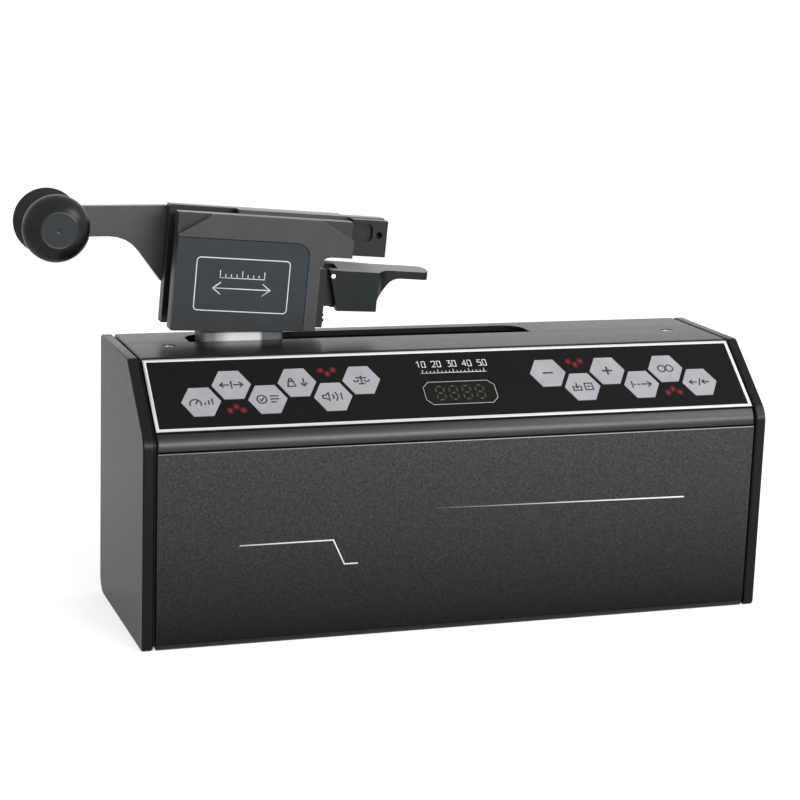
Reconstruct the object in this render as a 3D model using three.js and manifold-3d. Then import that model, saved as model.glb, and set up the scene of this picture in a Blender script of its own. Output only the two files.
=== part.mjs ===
// Electronic racket stringing machine: a pull box with a travelling tension head.
// Millimetres, +Z up. The origin is the centre of the box's underside.
// +X runs along the box to the right, +Y runs from the front panel to the back.

import * as THREE from 'three';
import { mergeVertices } from 'three/addons/utils/BufferGeometryUtils.js';
import Module from 'manifold-3d';

const wasm = await Module();
wasm.setup();

// Driving dimensions of the whole machine

const seatGap = 0.3;
const pinGap = 0.2;
const runGap = 0.6;
const overrun = 5;
const edgeBevel = 1;
const roundSides = 24;
const fineSides = 40;
const cornerSteps = 4;
const hexagonSides = 6;

const housing = {
  length: 400,
  depth: 126,
  height: 166,
  shoulderHeight: 127,
  topSetBack: 46,
  rearShellDepth: 36,
  wall: 3.5,
  endPlate: 8,
  endPlateSkin: 6.8,
  endPlateBevel: 0.8,
  grooveDepth: 2.2,
  shellBevel: 0.8,
  shoulderRadius: 15,
  frontBottomRadius: 3,
  backBottomRadius: 11,
  backTopRadius: 3,
  topFrontRadius: 3,
};

const slot = {
  left: 48,
  margin: 8,
  depth: 24,
  cornerRadius: 12,
};

const neck = {
  length: 52,
  depth: 22,
  rise: 5,
  cornerRadius: 3,
  lugOffset: 4,
  lugLength: 30,
  lugRise: 35,
};

const carriage = {
  length: 60,
  depth: 39,
  belowScrew: 12,
  aboveShafts: 12,
};

const drive = {
  shaftRadius: 4,
  shaftSpread: 27,
  shaftDrop: 32,
  screwRadius: 5,
  screwBelowShafts: 14,
  blockInset: 4,
  blockWidth: 12,
  blockDepth: 40,
  blockCornerRadius: 8,
  motorBay: 126,
  farBlockInset: 2,
  nutRadius: 9,
  nutFlangeRadius: 12,
  nutFlange: 4,
  nutLength: 40,
  bearingRadius: 11,
  screwTail: 12,
  couplingRadius: 9,
  couplingLength: 24,
  couplingGroove: 1.2,
  couplingFlat: 2,
  motorPlateInset: 86,
  motorPlateWidth: 8,
  motorRadius: 19,
  motorLength: 60,
  motorBossRadius: 7.5,
  motorShaftRadius: 3,
  motorShaftLength: 13,
};

const overlay = {
  thickness: 1.8,
  topMargin: 1.2,
  bottomMargin: 4.6,
  endMargin: 0.1,
  lampRadius: 0.9,
  lampPitch: 4,
  lampDrop: 2.7,
  lampBarWidth: 4,
  lampBarThickness: 0.6,
  lampProud: 0.2,
};

const keypad = {
  keyGap: 2.47,
  endMargin: 26.45,
  displayMargin: 25.05,
  thickness: 1.5,
  proud: 0.2,
  topMargin: 10.7,
  bottomMargin: 11.2,
  lampRise: 8.3,
  lampFall: 7.1,
};

const display = {
  width: 47.5,
  height: 18.2,
  chamfer: 4,
  bottomMargin: 12.1,
  depth: 9,
  flange: 3,
  flangeThickness: 1.5,
};

const frontPanel = {
  thickness: 1,
  margin: 0.2,
  top: 118.7,
  bottom: 4,
};

const topScrew = {
  inset: 33,
  beforeSeam: 9,
  headRadius: 3.75,
  headHeight: 2,
  sink: 0.4,
  shankRadius: 1.9,
  shankLength: 9,
  socketRadius: 1.7,
  socketDepth: 1.2,
};

const board = {
  width: 180,
  height: 84,
  bottom: 16,
  thickness: 1.6,
  standoff: 5,
  standoffRadius: 3,
  standoffInset: 6,
  chipSize: 18,
  chipHeight: 3,
  coilRadius: 7,
  coilHeight: 11,
  socketLength: 40,
  socketWidth: 7,
  socketHeight: 8,
};

const supply = {
  left: 120,
  length: 112,
  fromFront: 16,
  width: 56,
  height: 36,
  bevel: 2,
  terminalLength: 10,
  terminalHeight: 14,
};

const inlet = {
  centre: 62,
  height: 40,
  flangeWidth: 38,
  flangeHeight: 25,
  flange: 2,
  bodyWidth: 27.5,
  bodyHeight: 20,
  bodyDepth: 22,
  mouthWidth: 24.4,
  mouthHeight: 16.6,
  mouthDepth: 18,
  cornerRadius: 3,
  contactWidth: 4,
  contactThickness: 2,
  contactLength: 10,
  contactSpread: 7,
  contactRise: 2.4,
};

const powerSwitch = {
  centre: 104,
  height: 40,
  flangeWidth: 16,
  flangeHeight: 22,
  flange: 1.6,
  bodyWidth: 12.8,
  bodyHeight: 19,
  bodyDepth: 16,
  wellWidth: 9.6,
  wellHeight: 16,
  wellDepth: 6.4,
  rockerWidth: 8.6,
  rockerHeight: 14,
  rockerBack: 2.6,
  rockerFront: 2.2,
  pivotDepth: 1.2,
  leanDegrees: 7,
};

// The tension head's own sizes, from its lower left front corner

const head = {
  leanDegrees: 4.1,
  pivotX: 50.7,
  pivotZ: 14.7,
  pivotRise: 20,
  pinRadius: 4,
  width: 111,
  height: 72.3,
  columnWidth: 91.2,
  columnRise: 3.4,
  barUnderside: 50,
  barCorner: 6,
  faceThickness: 3.7,
  frontThickness: 8,
  gap: 16,
  rearThickness: 8.5,
  rearRise: 1.5,
  armThickness: 6.2,
};

const face = {
  coverWidth: 83,
  coverHeight: 57.3,
  coverRise: 3.1,
  coverRadius: 8,
  leftChamferWidth: 21.6,
  leftChamferDrop: 13.2,
  rightChamferWidth: 20.6,
  rightChamferDrop: 11,
};

const spool = {
  fromEdge: 73.9,
  height: 58,
  rimRadius: 20.2,
  waistRadius: 6.5,
  noseRadius: 10.5,
  noseReach: 10.5,
  rimLand: 1,
  waistLand: 2,
  backFillet: 1.5,
  domeSteps: 6,
  boltRadius: 3,
  boltDepth: 20,
  boltHeadRadius: 5,
  boltHead: 4,
};

const arm = {
  height: 18.8,
  drop: 1,
  curveX: 22.7,
  curveRadius: 24,
  rootBottom: 24.6,
  rootRight: 36,
};

const jaw = {
  left: 41,
  right: 136.2,
  frontRight: 134.9,
  bottom: 50.9,
  rearTop: 74.1,
  frontTop: 71.9,
  blockTop: 73.7,
  blockFront: 8,
  blockLeft: 112,
  meetDepth: 17.6,
  travel: 1.2,
  endRadius: 4,
  pocketRight: 125.3,
  pocketBottom: 60,
  pocketTop: 71.4,
  pocketDepth: 2.5,
  pocketRadius: 3.5,
  holeX: 129.7,
  holeZ: 64.5,
  holeRadius: 2.1,
  holeDepth: 6,
  pegRadius: 2,
  pegLeft: 55,
  pegRight: 100,
  pegZ: 61.5,
  pegLength: 2.6,
};

const spacer = {
  left: 78,
  bottom: 5,
  top: 48,
};

const bracket = {
  right: 99.2,
  bottom: 3.9,
  top: 41,
  depth: 19.4,
  tongueReach: 3.8,
  tongueBottom: 16.9,
  tongueWidth: 8.8,
  tongueInset: 5.3,
};

const lever = {
  left: 101.2,
  pinX: 103.8,
  pinZ: 36.7,
  pinRadius: 1.4,
  width: 20,
  blockTop: 40.4,
  blockRight: 133.9,
  blockBottom: 14.9,
  blockRightRise: 0.6,
  faceDegrees: 15,
  slotBehindPin: 5.2,
  paddleTop: 43.8,
  paddleEnd: 169.4,
  paddleUnder: 36.6,
  paddleInset: 6,
  paddleBackInset: 1.5,
  sweepStart: 22.9,
  sweepLength: 11.4,
  sweepRadius: 10,
  frontTaper: 5,
  backTaper: 15,
  sideRadius: 8,
  frontCornerRadius: 4,
  backCornerRadius: 6,
};

const plunger = {
  radius: 2.8,
  height: 21.8,
  depth: 22,
  left: 80,
  noseLength: 1,
  noseRadius: 2,
};

const loadCell = {
  length: 40,
  depth: 12,
  height: 12,
  windowLength: 14,
  windowHeight: 6,
};

// Finishes, one per kind of surface

function finish(color, roughness, metalness) {
  return new THREE.MeshStandardMaterial({ color, roughness, metalness });
}

const blackAnodised = () => finish(0x4a4b4d, 0.45, 0.6);
const darkPanel = () => finish(0x2b2b2c, 0.8, 0.1);
const overlayFilm = () => finish(0x1f1f21, 0.4, 0);
const keyPlastic = () => finish(0xa9abaf, 0.5, 0);
const darkGlass = () => finish(0x241f1c, 0.15, 0);
const redLamp = () => finish(0xa01d12, 0.3, 0);
const brightSteel = () => finish(0xc4c6c8, 0.25, 1);
const polishedAluminium = () => finish(0xd6d8da, 0.2, 1);
const plainAluminium = () => finish(0x9da0a3, 0.45, 1);
const blackPlastic = () => finish(0x1a1b1c, 0.55, 0);
const boardGreen = () => finish(0x1d4a2b, 0.6, 0);
const bronze = () => finish(0x9a7440, 0.4, 1);

// Outlines

function roundedOutline(corners, steps = cornerSteps) {
  const points = [];
  corners.forEach(([x, y, radius], index) => {
    const corner = new THREE.Vector2(x, y);
    if (!radius) {
      points.push(corner);
      return;
    }
    const [beforeX, beforeY] = corners.at(index - 1);
    const [afterX, afterY] = corners[(index + 1) % corners.length];
    const toBefore = new THREE.Vector2(beforeX, beforeY).sub(corner).normalize();
    const toAfter = new THREE.Vector2(afterX, afterY).sub(corner).normalize();
    const halfAngle = Math.acos(toBefore.dot(toAfter)) / 2;
    const reach = radius / Math.tan(halfAngle);
    const inward = toBefore.clone().add(toAfter).normalize();
    const centre = corner.clone().addScaledVector(inward, radius / Math.sin(halfAngle));
    const start = corner.clone().addScaledVector(toBefore, reach).sub(centre);
    const end = corner.clone().addScaledVector(toAfter, reach).sub(centre);
    const sweep = Math.atan2(start.cross(end), start.dot(end));
    for (let step = 0; step <= steps; step += 1) {
      const turned = start.clone().rotateAround(new THREE.Vector2(), (sweep * step) / steps);
      points.push(centre.clone().add(turned));
    }
  });
  return points;
}

function circleOutline(radius, x, y, sides = roundSides) {
  return Array.from({ length: sides }, (_, side) => {
    const angle = (2 * Math.PI * (side + 0.5)) / sides;
    return new THREE.Vector2(x + radius * Math.cos(angle), y + radius * Math.sin(angle));
  });
}

function boxOutline(left, right, low, high, radius = 0) {
  const corners = [[left, low], [right, low], [right, high], [left, high]];
  return roundedOutline(corners.map(([x, y]) => [x, y, radius]));
}

function hexagonOutline(radius, x, y) {
  return Array.from({ length: hexagonSides }, (_, side) => {
    const angle = (2 * Math.PI * side) / hexagonSides;
    return new THREE.Vector2(x + radius * Math.cos(angle), y + radius * Math.sin(angle));
  });
}

// Solids from outlines

function slab(outline, holes, depth, bevel = 0) {
  const shape = new THREE.Shape(outline);
  holes.forEach((hole) => shape.holes.push(new THREE.Path(hole)));
  const settings = { depth: depth - 2 * bevel, steps: 1, bevelEnabled: bevel > 0 };
  if (bevel > 0) {
    Object.assign(settings, {
      bevelThickness: bevel,
      bevelSize: bevel,
      bevelOffset: -bevel,
      bevelSegments: 1,
    });
  }
  return new THREE.ExtrudeGeometry(shape, settings).translate(0, 0, bevel);
}

// The outline's two directions are Y and Z, and the slab runs from one X to the other
function alongX(outline, from, to, { holes = [], bevel = 0 } = {}) {
  const turn = new THREE.Matrix4().makeBasis(
    new THREE.Vector3(0, 1, 0),
    new THREE.Vector3(0, 0, 1),
    new THREE.Vector3(1, 0, 0),
  );
  return slab(outline, holes, to - from, bevel).applyMatrix4(turn).translate(from, 0, 0);
}

// The outline's two directions are X and Z, and the slab runs from one Y to the other
function alongY(outline, from, to, { holes = [], bevel = 0 } = {}) {
  return slab(outline, holes, to - from, bevel).rotateX(Math.PI / 2).translate(0, to, 0);
}

// The outline's two directions are X and Y, and the slab runs from one Z to the other
function alongZ(outline, from, to, { holes = [], bevel = 0 } = {}) {
  return slab(outline, holes, to - from, bevel).translate(0, 0, from);
}

// A turned solid about Y, from pairs of radius and distance along Y
function turnedAboutY(profile, sides = roundSides) {
  const points = profile.map(([radius, along]) => new THREE.Vector2(radius, along));
  return new THREE.LatheGeometry(points, sides);
}

// A turned solid about X, from pairs of radius and distance along X
function turnedAboutX(profile, sides = roundSides) {
  return turnedAboutY(profile, sides).rotateZ(-Math.PI / 2);
}

function toSolid(geometry) {
  const bare = geometry.clone();
  bare.deleteAttribute('normal');
  bare.deleteAttribute('uv');
  const merged = mergeVertices(bare);
  const mesh = new wasm.Mesh({
    numProp: 3,
    vertProperties: merged.attributes.position.array,
    triVerts: new Uint32Array(merged.index.array),
  });
  return new wasm.Manifold(mesh);
}

function toGeometry(solid) {
  const mesh = solid.getMesh();
  const geometry = new THREE.BufferGeometry();
  geometry.setAttribute('position', new THREE.BufferAttribute(mesh.vertProperties, 3));
  geometry.setIndex(new THREE.BufferAttribute(mesh.triVerts, 1));
  geometry.computeVertexNormals();
  return geometry;
}

function carve(base, ...cutters) {
  return toGeometry(cutters.reduce((solid, cutter) => solid.subtract(toSolid(cutter)), toSolid(base)));
}

function fuse(base, ...additions) {
  return toGeometry(additions.reduce((solid, addition) => solid.add(toSolid(addition)), toSolid(base)));
}

function common(first, second) {
  return toGeometry(toSolid(first).intersect(toSolid(second)));
}

function piece(name, geometry, material) {
  const mesh = new THREE.Mesh(geometry, material);
  mesh.name = name;
  return mesh;
}

// Places that several pieces share

const seam = housing.depth - housing.rearShellDepth;
const slotEnd = housing.length - drive.motorBay;
const slotBack = seam + slot.depth;
const slotMiddle = seam + slot.depth / 2;
const neckLeft = slot.left + slot.margin;
const neckX = neckLeft + neck.length / 2 + neck.lugOffset;
const shellLeft = housing.endPlate + seatGap;
const shellRight = housing.length - housing.endPlate - seatGap;
const innerFloor = housing.wall + seatGap;
const slopeAngle = Math.atan2(housing.height - housing.shoulderHeight, housing.topSetBack);
const slopeLength = Math.hypot(housing.height - housing.shoulderHeight, housing.topSetBack);
const recessDepth = overlay.thickness + seatGap;
const overlayBottom = slopeLength - overlay.bottomMargin;
const displayDrop = overlayBottom - display.bottomMargin - display.height / 2;
const panelRecess = frontPanel.thickness + seatGap;
const shaftYs = [slotMiddle - drive.shaftSpread / 2, slotMiddle + drive.shaftSpread / 2];
const shaftHeight = housing.height - drive.shaftDrop;
const screwAt = new THREE.Vector2(slotMiddle, shaftHeight - drive.screwBelowShafts);
const carriageTop = shaftHeight + carriage.aboveShafts;
const carriageBottom = screwAt.y - carriage.belowScrew;
const topScrewY = seam - topScrew.beforeSeam;
const neckTop = housing.height + neck.rise;
const headFront = slotMiddle - head.gap / 2 - head.frontThickness - seatGap - head.faceThickness;
const lugTop = housing.height + neck.lugRise;
const pivotHeight = housing.height + head.pivotRise;
const boxCentre = housing.length / 2;

// The housing's section, with Y from the front and Z up

function sectionOutline(inset) {
  const wallShift = inset;
  const topFrontY = housing.topSetBack + wallShift * Math.tan(slopeAngle / 2);
  const shoulderZ = housing.shoulderHeight - wallShift * Math.tan((Math.PI / 2 - slopeAngle) / 2);
  const shrink = (radius) => Math.max(radius - inset, edgeBevel);
  return roundedOutline([
    [wallShift, wallShift, shrink(housing.frontBottomRadius)],
    [housing.depth - wallShift, wallShift, shrink(housing.backBottomRadius)],
    [housing.depth - wallShift, housing.height - wallShift, shrink(housing.backTopRadius)],
    [topFrontY, housing.height - wallShift, shrink(housing.topFrontRadius)],
    [wallShift, shoulderZ, shrink(housing.shoulderRadius)],
  ]);
}

// Each end plate is a skin on a smaller spigot, which leaves a groove beside the shells
function endPlate(skinFrom, spigotFrom) {
  const bevel = housing.endPlateBevel;
  const skin = alongX(sectionOutline(0), skinFrom, skinFrom + housing.endPlateSkin, { bevel });
  const spigotTo = spigotFrom + housing.endPlate - bevel;
  return fuse(skin, alongX(sectionOutline(housing.grooveDepth), spigotFrom, spigotTo));
}

function leftEndPlate() {
  return endPlate(0, housing.endPlateBevel);
}

function rightEndPlate() {
  return endPlate(housing.length - housing.endPlateSkin, housing.length - housing.endPlate);
}

// A full tube of the housing's section, which the two shells are cut from
function shellTube() {
  const outer = alongX(sectionOutline(0), shellLeft, shellRight, { bevel: housing.shellBevel });
  const inner = alongX(sectionOutline(housing.wall), shellLeft - overrun, shellRight + overrun);
  return carve(outer, inner);
}

function onSlope(geometry) {
  return geometry.clone().rotateX(slopeAngle).translate(0, housing.topSetBack, housing.height);
}

function frontShell() {
  const behindSeam = alongX(
    boxOutline(seam, housing.depth + overrun, -overrun, housing.height + overrun),
    -overrun,
    housing.length + overrun,
  );
  const overlayBed = onSlope(alongZ(
    boxOutline(
      -overrun,
      housing.length + overrun,
      -overlayBottom - seatGap,
      -overlay.topMargin + seatGap,
    ),
    -recessDepth,
    overrun,
  ));
  const displayWindow = onSlope(alongZ(
    displayOutline(seatGap, 0),
    -housing.wall - overrun,
    overrun,
  ));
  const panelBed = alongY(
    boxOutline(
      shellLeft - overrun,
      shellRight + overrun,
      frontPanel.bottom - seatGap,
      frontPanel.top + seatGap,
    ),
    -overrun,
    panelRecess,
  );
  const screwHoles = screwXs().flatMap((x) => [
    alongZ(
      circleOutline(topScrew.headRadius + seatGap, x, topScrewY),
      housing.height - topScrew.headHeight - seatGap,
      housing.height + overrun,
    ),
    alongZ(
      circleOutline(topScrew.shankRadius + seatGap, x, topScrewY),
      housing.height - housing.wall - overrun,
      housing.height,
    ),
  ]);
  return carve(shellTube(), behindSeam, overlayBed, displayWindow, panelBed, ...screwHoles);
}

function rearShell() {
  const beforeSeam = alongX(
    boxOutline(-overrun, seam + seatGap, -overrun, housing.height + overrun),
    -overrun,
    housing.length + overrun,
  );
  const carriageSlot = alongZ(
    roundedOutline([
      [slot.left, seam - overrun, 0],
      [slotEnd, seam - overrun, 0],
      [slotEnd, slotBack, slot.cornerRadius],
      [slot.left, slotBack, slot.cornerRadius],
    ]),
    housing.height - housing.wall - overrun,
    housing.height + overrun,
  );
  const inletHole = backCut(inlet.centre, inlet.height, inlet.bodyWidth, inlet.bodyHeight);
  const switchHole = backCut(
    powerSwitch.centre,
    powerSwitch.height,
    powerSwitch.bodyWidth,
    powerSwitch.bodyHeight,
  );
  return carve(shellTube(), beforeSeam, carriageSlot, inletHole, switchHole);
}

function centredBox(centreX, centreZ, width, height, radius = 0) {
  const halfWidth = width / 2;
  const halfHeight = height / 2;
  return boxOutline(
    centreX - halfWidth,
    centreX + halfWidth,
    centreZ - halfHeight,
    centreZ + halfHeight,
    radius,
  );
}

function backCut(centreX, centreZ, width, height) {
  const outline = centredBox(centreX, centreZ, width + 2 * seatGap, height + 2 * seatGap);
  return alongY(outline, housing.depth - housing.wall - overrun, housing.depth + overrun);
}

function screwXs() {
  return [topScrew.inset, housing.length - topScrew.inset];
}

function topScrewSolid(x) {
  const head = alongZ(
    circleOutline(topScrew.headRadius, x, topScrewY),
    housing.height - topScrew.headHeight,
    housing.height - topScrew.sink,
  );
  const shank = alongZ(
    circleOutline(topScrew.shankRadius, x, topScrewY),
    housing.height - topScrew.shankLength,
    housing.height - topScrew.headHeight / 2,
  );
  const socket = alongZ(
    hexagonOutline(topScrew.socketRadius, x, topScrewY),
    housing.height - topScrew.sink - topScrew.socketDepth,
    housing.height + overrun,
  );
  return carve(fuse(head, shank), socket);
}

function frontPanelSolid() {
  return alongY(
    boxOutline(
      shellLeft + frontPanel.margin,
      shellRight - frontPanel.margin,
      frontPanel.bottom,
      frontPanel.top,
      edgeBevel,
    ),
    0,
    frontPanel.thickness,
  );
}

// The control face lies in a turned group: X along the box, Y up the slope, Z out of it

function displayOutline(grow, shrink) {
  const halfWidth = display.width / 2 + grow - shrink;
  const halfHeight = display.height / 2 + grow - shrink;
  const left = boxCentre - halfWidth;
  const right = boxCentre + halfWidth;
  const low = -displayDrop - halfHeight;
  const high = -displayDrop + halfHeight;
  return [
    new THREE.Vector2(left + display.chamfer, low),
    new THREE.Vector2(right - display.chamfer, low),
    new THREE.Vector2(right, low + display.chamfer),
    new THREE.Vector2(right, high - display.chamfer),
    new THREE.Vector2(right - display.chamfer, high),
    new THREE.Vector2(left + display.chamfer, high),
    new THREE.Vector2(left, high - display.chamfer),
    new THREE.Vector2(left, low + display.chamfer),
  ];
}

const keyNames = [
  'key_speed', 'key_constant_pull', 'key_self_test', 'key_kilograms', 'key_sound', 'key_pounds',
  'key_minus', 'key_store', 'key_plus', 'key_pre_stretch', 'key_knot', 'key_pull_release',
];

// Six keys stand left of the display and six right of it, each six in a zigzag of two rows.
// The hexagons nest like a honeycomb, as large as the overlay's free room allows both ways.
const keysPerGroup = keyNames.length / 2;
const groupSpan = boxCentre - display.width / 2 - keypad.displayMargin - keypad.endMargin;
const hexagonTurn = Math.PI / hexagonSides;
const sideStepPerRadius = 1 + Math.sin(hexagonTurn);
const sideGap = keypad.keyGap * Math.cos(hexagonTurn);
const spanPerRadius = 2 + (keysPerGroup - 1) * sideStepPerRadius;
const radiusForSpan = (groupSpan - (keysPerGroup - 1) * sideGap) / spanPerRadius;
const rowsTop = overlay.topMargin + keypad.topMargin;
const rowsRoom = overlayBottom - keypad.bottomMargin - rowsTop;
const radiusForRows = (rowsRoom - keypad.keyGap / 2) / (3 * Math.cos(hexagonTurn));
const keyRadius = Math.min(radiusForSpan, radiusForRows);
const keyPitch = sideStepPerRadius * keyRadius + sideGap;
const keyApothem = keyRadius * Math.cos(hexagonTurn);
const halfRowDrop = (keyApothem + keypad.keyGap / 2) / 2;
const keysMiddle = rowsTop + rowsRoom / 2;

function keyPlaces() {
  return keyNames.map((name, index) => {
    const onRight = index >= keysPerGroup;
    const step = index % keysPerGroup;
    const firstX = onRight ? boxCentre + display.width / 2 + keypad.displayMargin : keypad.endMargin;
    const isHigh = onRight ? step % 2 === 0 : step % 2 === 1;
    return {
      name,
      isHigh,
      x: firstX + keyRadius + step * keyPitch,
      y: -keysMiddle + (isHigh ? halfRowDrop : -halfRowDrop),
    };
  });
}

// Each lamp cluster stands above or below one key, on the side that the other row leaves free
function lampPlaces() {
  const besideKeys = ['key_constant_pull', 'key_sound', 'key_store', 'key_knot'];
  return keyPlaces()
    .filter((key) => besideKeys.includes(key.name))
    .map(({ x, y, isHigh }) => {
      const offset = isHigh ? -keyApothem - keypad.lampFall : keyApothem + keypad.lampRise;
      return { x, y: y + offset, isHigh };
    });
}

// Three lamps in a shallow V whose point faces away from the key
function lampDots({ x, y, isHigh }) {
  const tip = isHigh ? overlay.lampDrop / 2 : -overlay.lampDrop / 2;
  return [
    [x - overlay.lampPitch, y - tip],
    [x, y + tip],
    [x + overlay.lampPitch, y - tip],
  ];
}

function lampBarOutline(place, grow) {
  const halfLength = overlay.lampPitch + overlay.lampBarWidth / 2 + grow;
  const halfWidth = (overlay.lampDrop + overlay.lampBarWidth) / 2 + grow;
  return boxOutline(
    place.x - halfLength,
    place.x + halfLength,
    place.y - halfWidth,
    place.y + halfWidth,
  );
}

function overlaySolid() {
  const outline = boxOutline(
    shellLeft + overlay.endMargin,
    shellRight - overlay.endMargin,
    -overlayBottom,
    -overlay.topMargin,
  );
  const keyHoles = keyPlaces().map(({ x, y }) => hexagonOutline(keyRadius + seatGap, x, y));
  const lampHoles = lampPlaces().flatMap((place) => lampDots(place).map(
    ([x, y]) => circleOutline(overlay.lampRadius + seatGap, x, y, roundSides / 2),
  ));
  const holes = [...keyHoles, ...lampHoles, displayOutline(seatGap, 0)];
  const sheet = alongZ(outline, -overlay.thickness, 0, { holes });
  const pocketTop = -overlay.thickness + overlay.lampBarThickness + seatGap;
  const pockets = lampPlaces().map((place) => alongZ(
    lampBarOutline(place, seatGap),
    -overlay.thickness - overrun,
    pocketTop,
  ));
  return carve(sheet, ...pockets);
}

function keySolid({ x, y }) {
  return alongZ(hexagonOutline(keyRadius, x, y), keypad.proud - keypad.thickness, keypad.proud);
}

function lampSolid(place) {
  const bar = alongZ(
    lampBarOutline(place, 0),
    -overlay.thickness,
    -overlay.thickness + overlay.lampBarThickness,
  );
  const studs = lampDots(place).map(([x, y]) => alongZ(
    circleOutline(overlay.lampRadius, x, y, roundSides / 2),
    -overlay.thickness,
    overlay.lampProud,
  ));
  return fuse(bar, ...studs);
}

function displayWindowSolid() {
  return alongZ(displayOutline(0, 0), -overlay.thickness, 0);
}

// The digit block fills the shell's window and hangs on a flange under the shell
function displayModuleSolid() {
  const skinBottom = -housing.wall - seatGap;
  const block = alongZ(displayOutline(0, 0), skinBottom - display.depth, -recessDepth);
  const flange = alongZ(
    displayOutline(display.flange, 0),
    skinBottom - display.flangeThickness,
    skinBottom,
  );
  return fuse(block, flange);
}

// Inside the box

function boardSolid() {
  const left = boxCentre - board.width / 2;
  const right = boxCentre + board.width / 2;
  const top = board.bottom + board.height;
  const front = housing.wall + seatGap;
  const sheetFront = front + board.standoff;
  const sheetBack = sheetFront + board.thickness;
  const sheet = alongY(boxOutline(left, right, board.bottom, top), sheetFront, sheetBack);
  const standoffs = [left + board.standoffInset, right - board.standoffInset].flatMap((x) => (
    [board.bottom + board.standoffInset, top - board.standoffInset].map(
      (z) => alongY(
        circleOutline(board.standoffRadius, x, z, roundSides / 2),
        front,
        sheetFront + board.thickness / 2,
      ),
    )
  ));
  const middleZ = board.bottom + board.height / 2;
  const embedded = sheetBack - board.thickness / 2;
  const chip = alongY(
    centredBox(boxCentre, middleZ, board.chipSize, board.chipSize),
    embedded,
    sheetBack + board.chipHeight,
  );
  const coil = alongY(
    circleOutline(board.coilRadius, left + board.socketLength, middleZ, roundSides / 2),
    embedded,
    sheetBack + board.coilHeight,
  );
  const socket = alongY(
    centredBox(right - board.socketLength, middleZ, board.socketLength, board.socketWidth),
    embedded,
    sheetBack + board.socketHeight,
  );
  return fuse(sheet, ...standoffs, chip, coil, socket);
}

function supplySolid() {
  const right = supply.left + supply.length;
  const back = supply.fromFront + supply.width;
  const body = alongZ(
    boxOutline(supply.left, right, supply.fromFront, back),
    innerFloor,
    innerFloor + supply.height,
    { bevel: supply.bevel },
  );
  const terminals = alongZ(
    boxOutline(
      right - supply.bevel,
      right + supply.terminalLength,
      supply.fromFront + supply.bevel,
      back - supply.bevel,
    ),
    innerFloor + supply.bevel,
    innerFloor + supply.terminalHeight,
  );
  return fuse(body, terminals);
}

function rodAlongX(radius, y, z, from, to) {
  return alongX(circleOutline(radius, y, z), from, to);
}

const nearBlockLeft = housing.endPlate + drive.blockInset;
const farBlockLeft = slotEnd + drive.farBlockInset;
const farBlockRight = farBlockLeft + drive.blockWidth;
const screwRight = farBlockRight + drive.screwTail;
const couplingLeft = farBlockRight + runGap;
const couplingRight = couplingLeft + drive.couplingLength;
const motorPlateLeft = housing.length - drive.motorPlateInset;
const motorPlateRight = motorPlateLeft + drive.motorPlateWidth;

function shaftSolid(y) {
  return rodAlongX(drive.shaftRadius, y, shaftHeight, nearBlockLeft, farBlockRight);
}

function onScrewLine(radius, from, to) {
  return rodAlongX(radius, screwAt.x, screwAt.y, from, to);
}

// The upright plates that stand on the floor under the slot share one outline
function uprightPlate(left, width) {
  const outline = boxOutline(
    slotMiddle - drive.blockDepth / 2,
    slotMiddle + drive.blockDepth / 2,
    innerFloor,
    carriageTop,
    drive.blockCornerRadius,
  );
  return alongX(outline, left, left + width);
}

// Each block holds both shafts and lets the screw through a hole of its own size
function shaftBlockSolid(left, screwHoleRadius) {
  const from = left - overrun;
  const to = left + drive.blockWidth + overrun;
  const holeRadius = drive.shaftRadius + seatGap;
  const shaftHoles = shaftYs.map((y) => rodAlongX(holeRadius, y, shaftHeight, from, to));
  const body = uprightPlate(left, drive.blockWidth);
  return carve(body, onScrewLine(screwHoleRadius, from, to), ...shaftHoles);
}

function screwBearingSolid() {
  return carve(
    onScrewLine(drive.bearingRadius, farBlockLeft, farBlockRight),
    onScrewLine(drive.screwRadius + pinGap, farBlockLeft - overrun, farBlockRight + overrun),
  );
}

function leadScrewSolid() {
  return onScrewLine(drive.screwRadius, nearBlockLeft + seatGap, screwRight);
}

// The coupling joins the screw's tail to the motor's shaft, and each sits in its own blind hole
function shaftCouplingSolid() {
  const middle = (couplingLeft + couplingRight) / 2;
  const waist = drive.couplingRadius - drive.couplingGroove;
  const body = turnedAboutX([
    [0, couplingLeft],
    [drive.couplingRadius, couplingLeft],
    [drive.couplingRadius, middle - drive.couplingFlat],
    [waist, middle - drive.couplingFlat],
    [waist, middle + drive.couplingFlat],
    [drive.couplingRadius, middle + drive.couplingFlat],
    [drive.couplingRadius, couplingRight],
    [0, couplingRight],
  ]).translate(0, screwAt.x, screwAt.y);
  return carve(
    body,
    onScrewLine(drive.screwRadius + seatGap, couplingLeft - overrun, screwRight + seatGap),
    onScrewLine(
      drive.motorShaftRadius + seatGap,
      motorPlateLeft - drive.motorShaftLength + seatGap,
      couplingRight + overrun,
    ),
  );
}

function motorShaftSolid() {
  const left = motorPlateLeft - drive.motorShaftLength + 2 * seatGap;
  return onScrewLine(drive.motorShaftRadius, left, motorPlateRight + drive.motorPlateWidth);
}

function motorPlateSolid() {
  return carve(
    uprightPlate(motorPlateLeft, drive.motorPlateWidth),
    onScrewLine(drive.motorBossRadius + seatGap, motorPlateLeft - overrun, motorPlateRight + overrun),
  );
}

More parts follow.
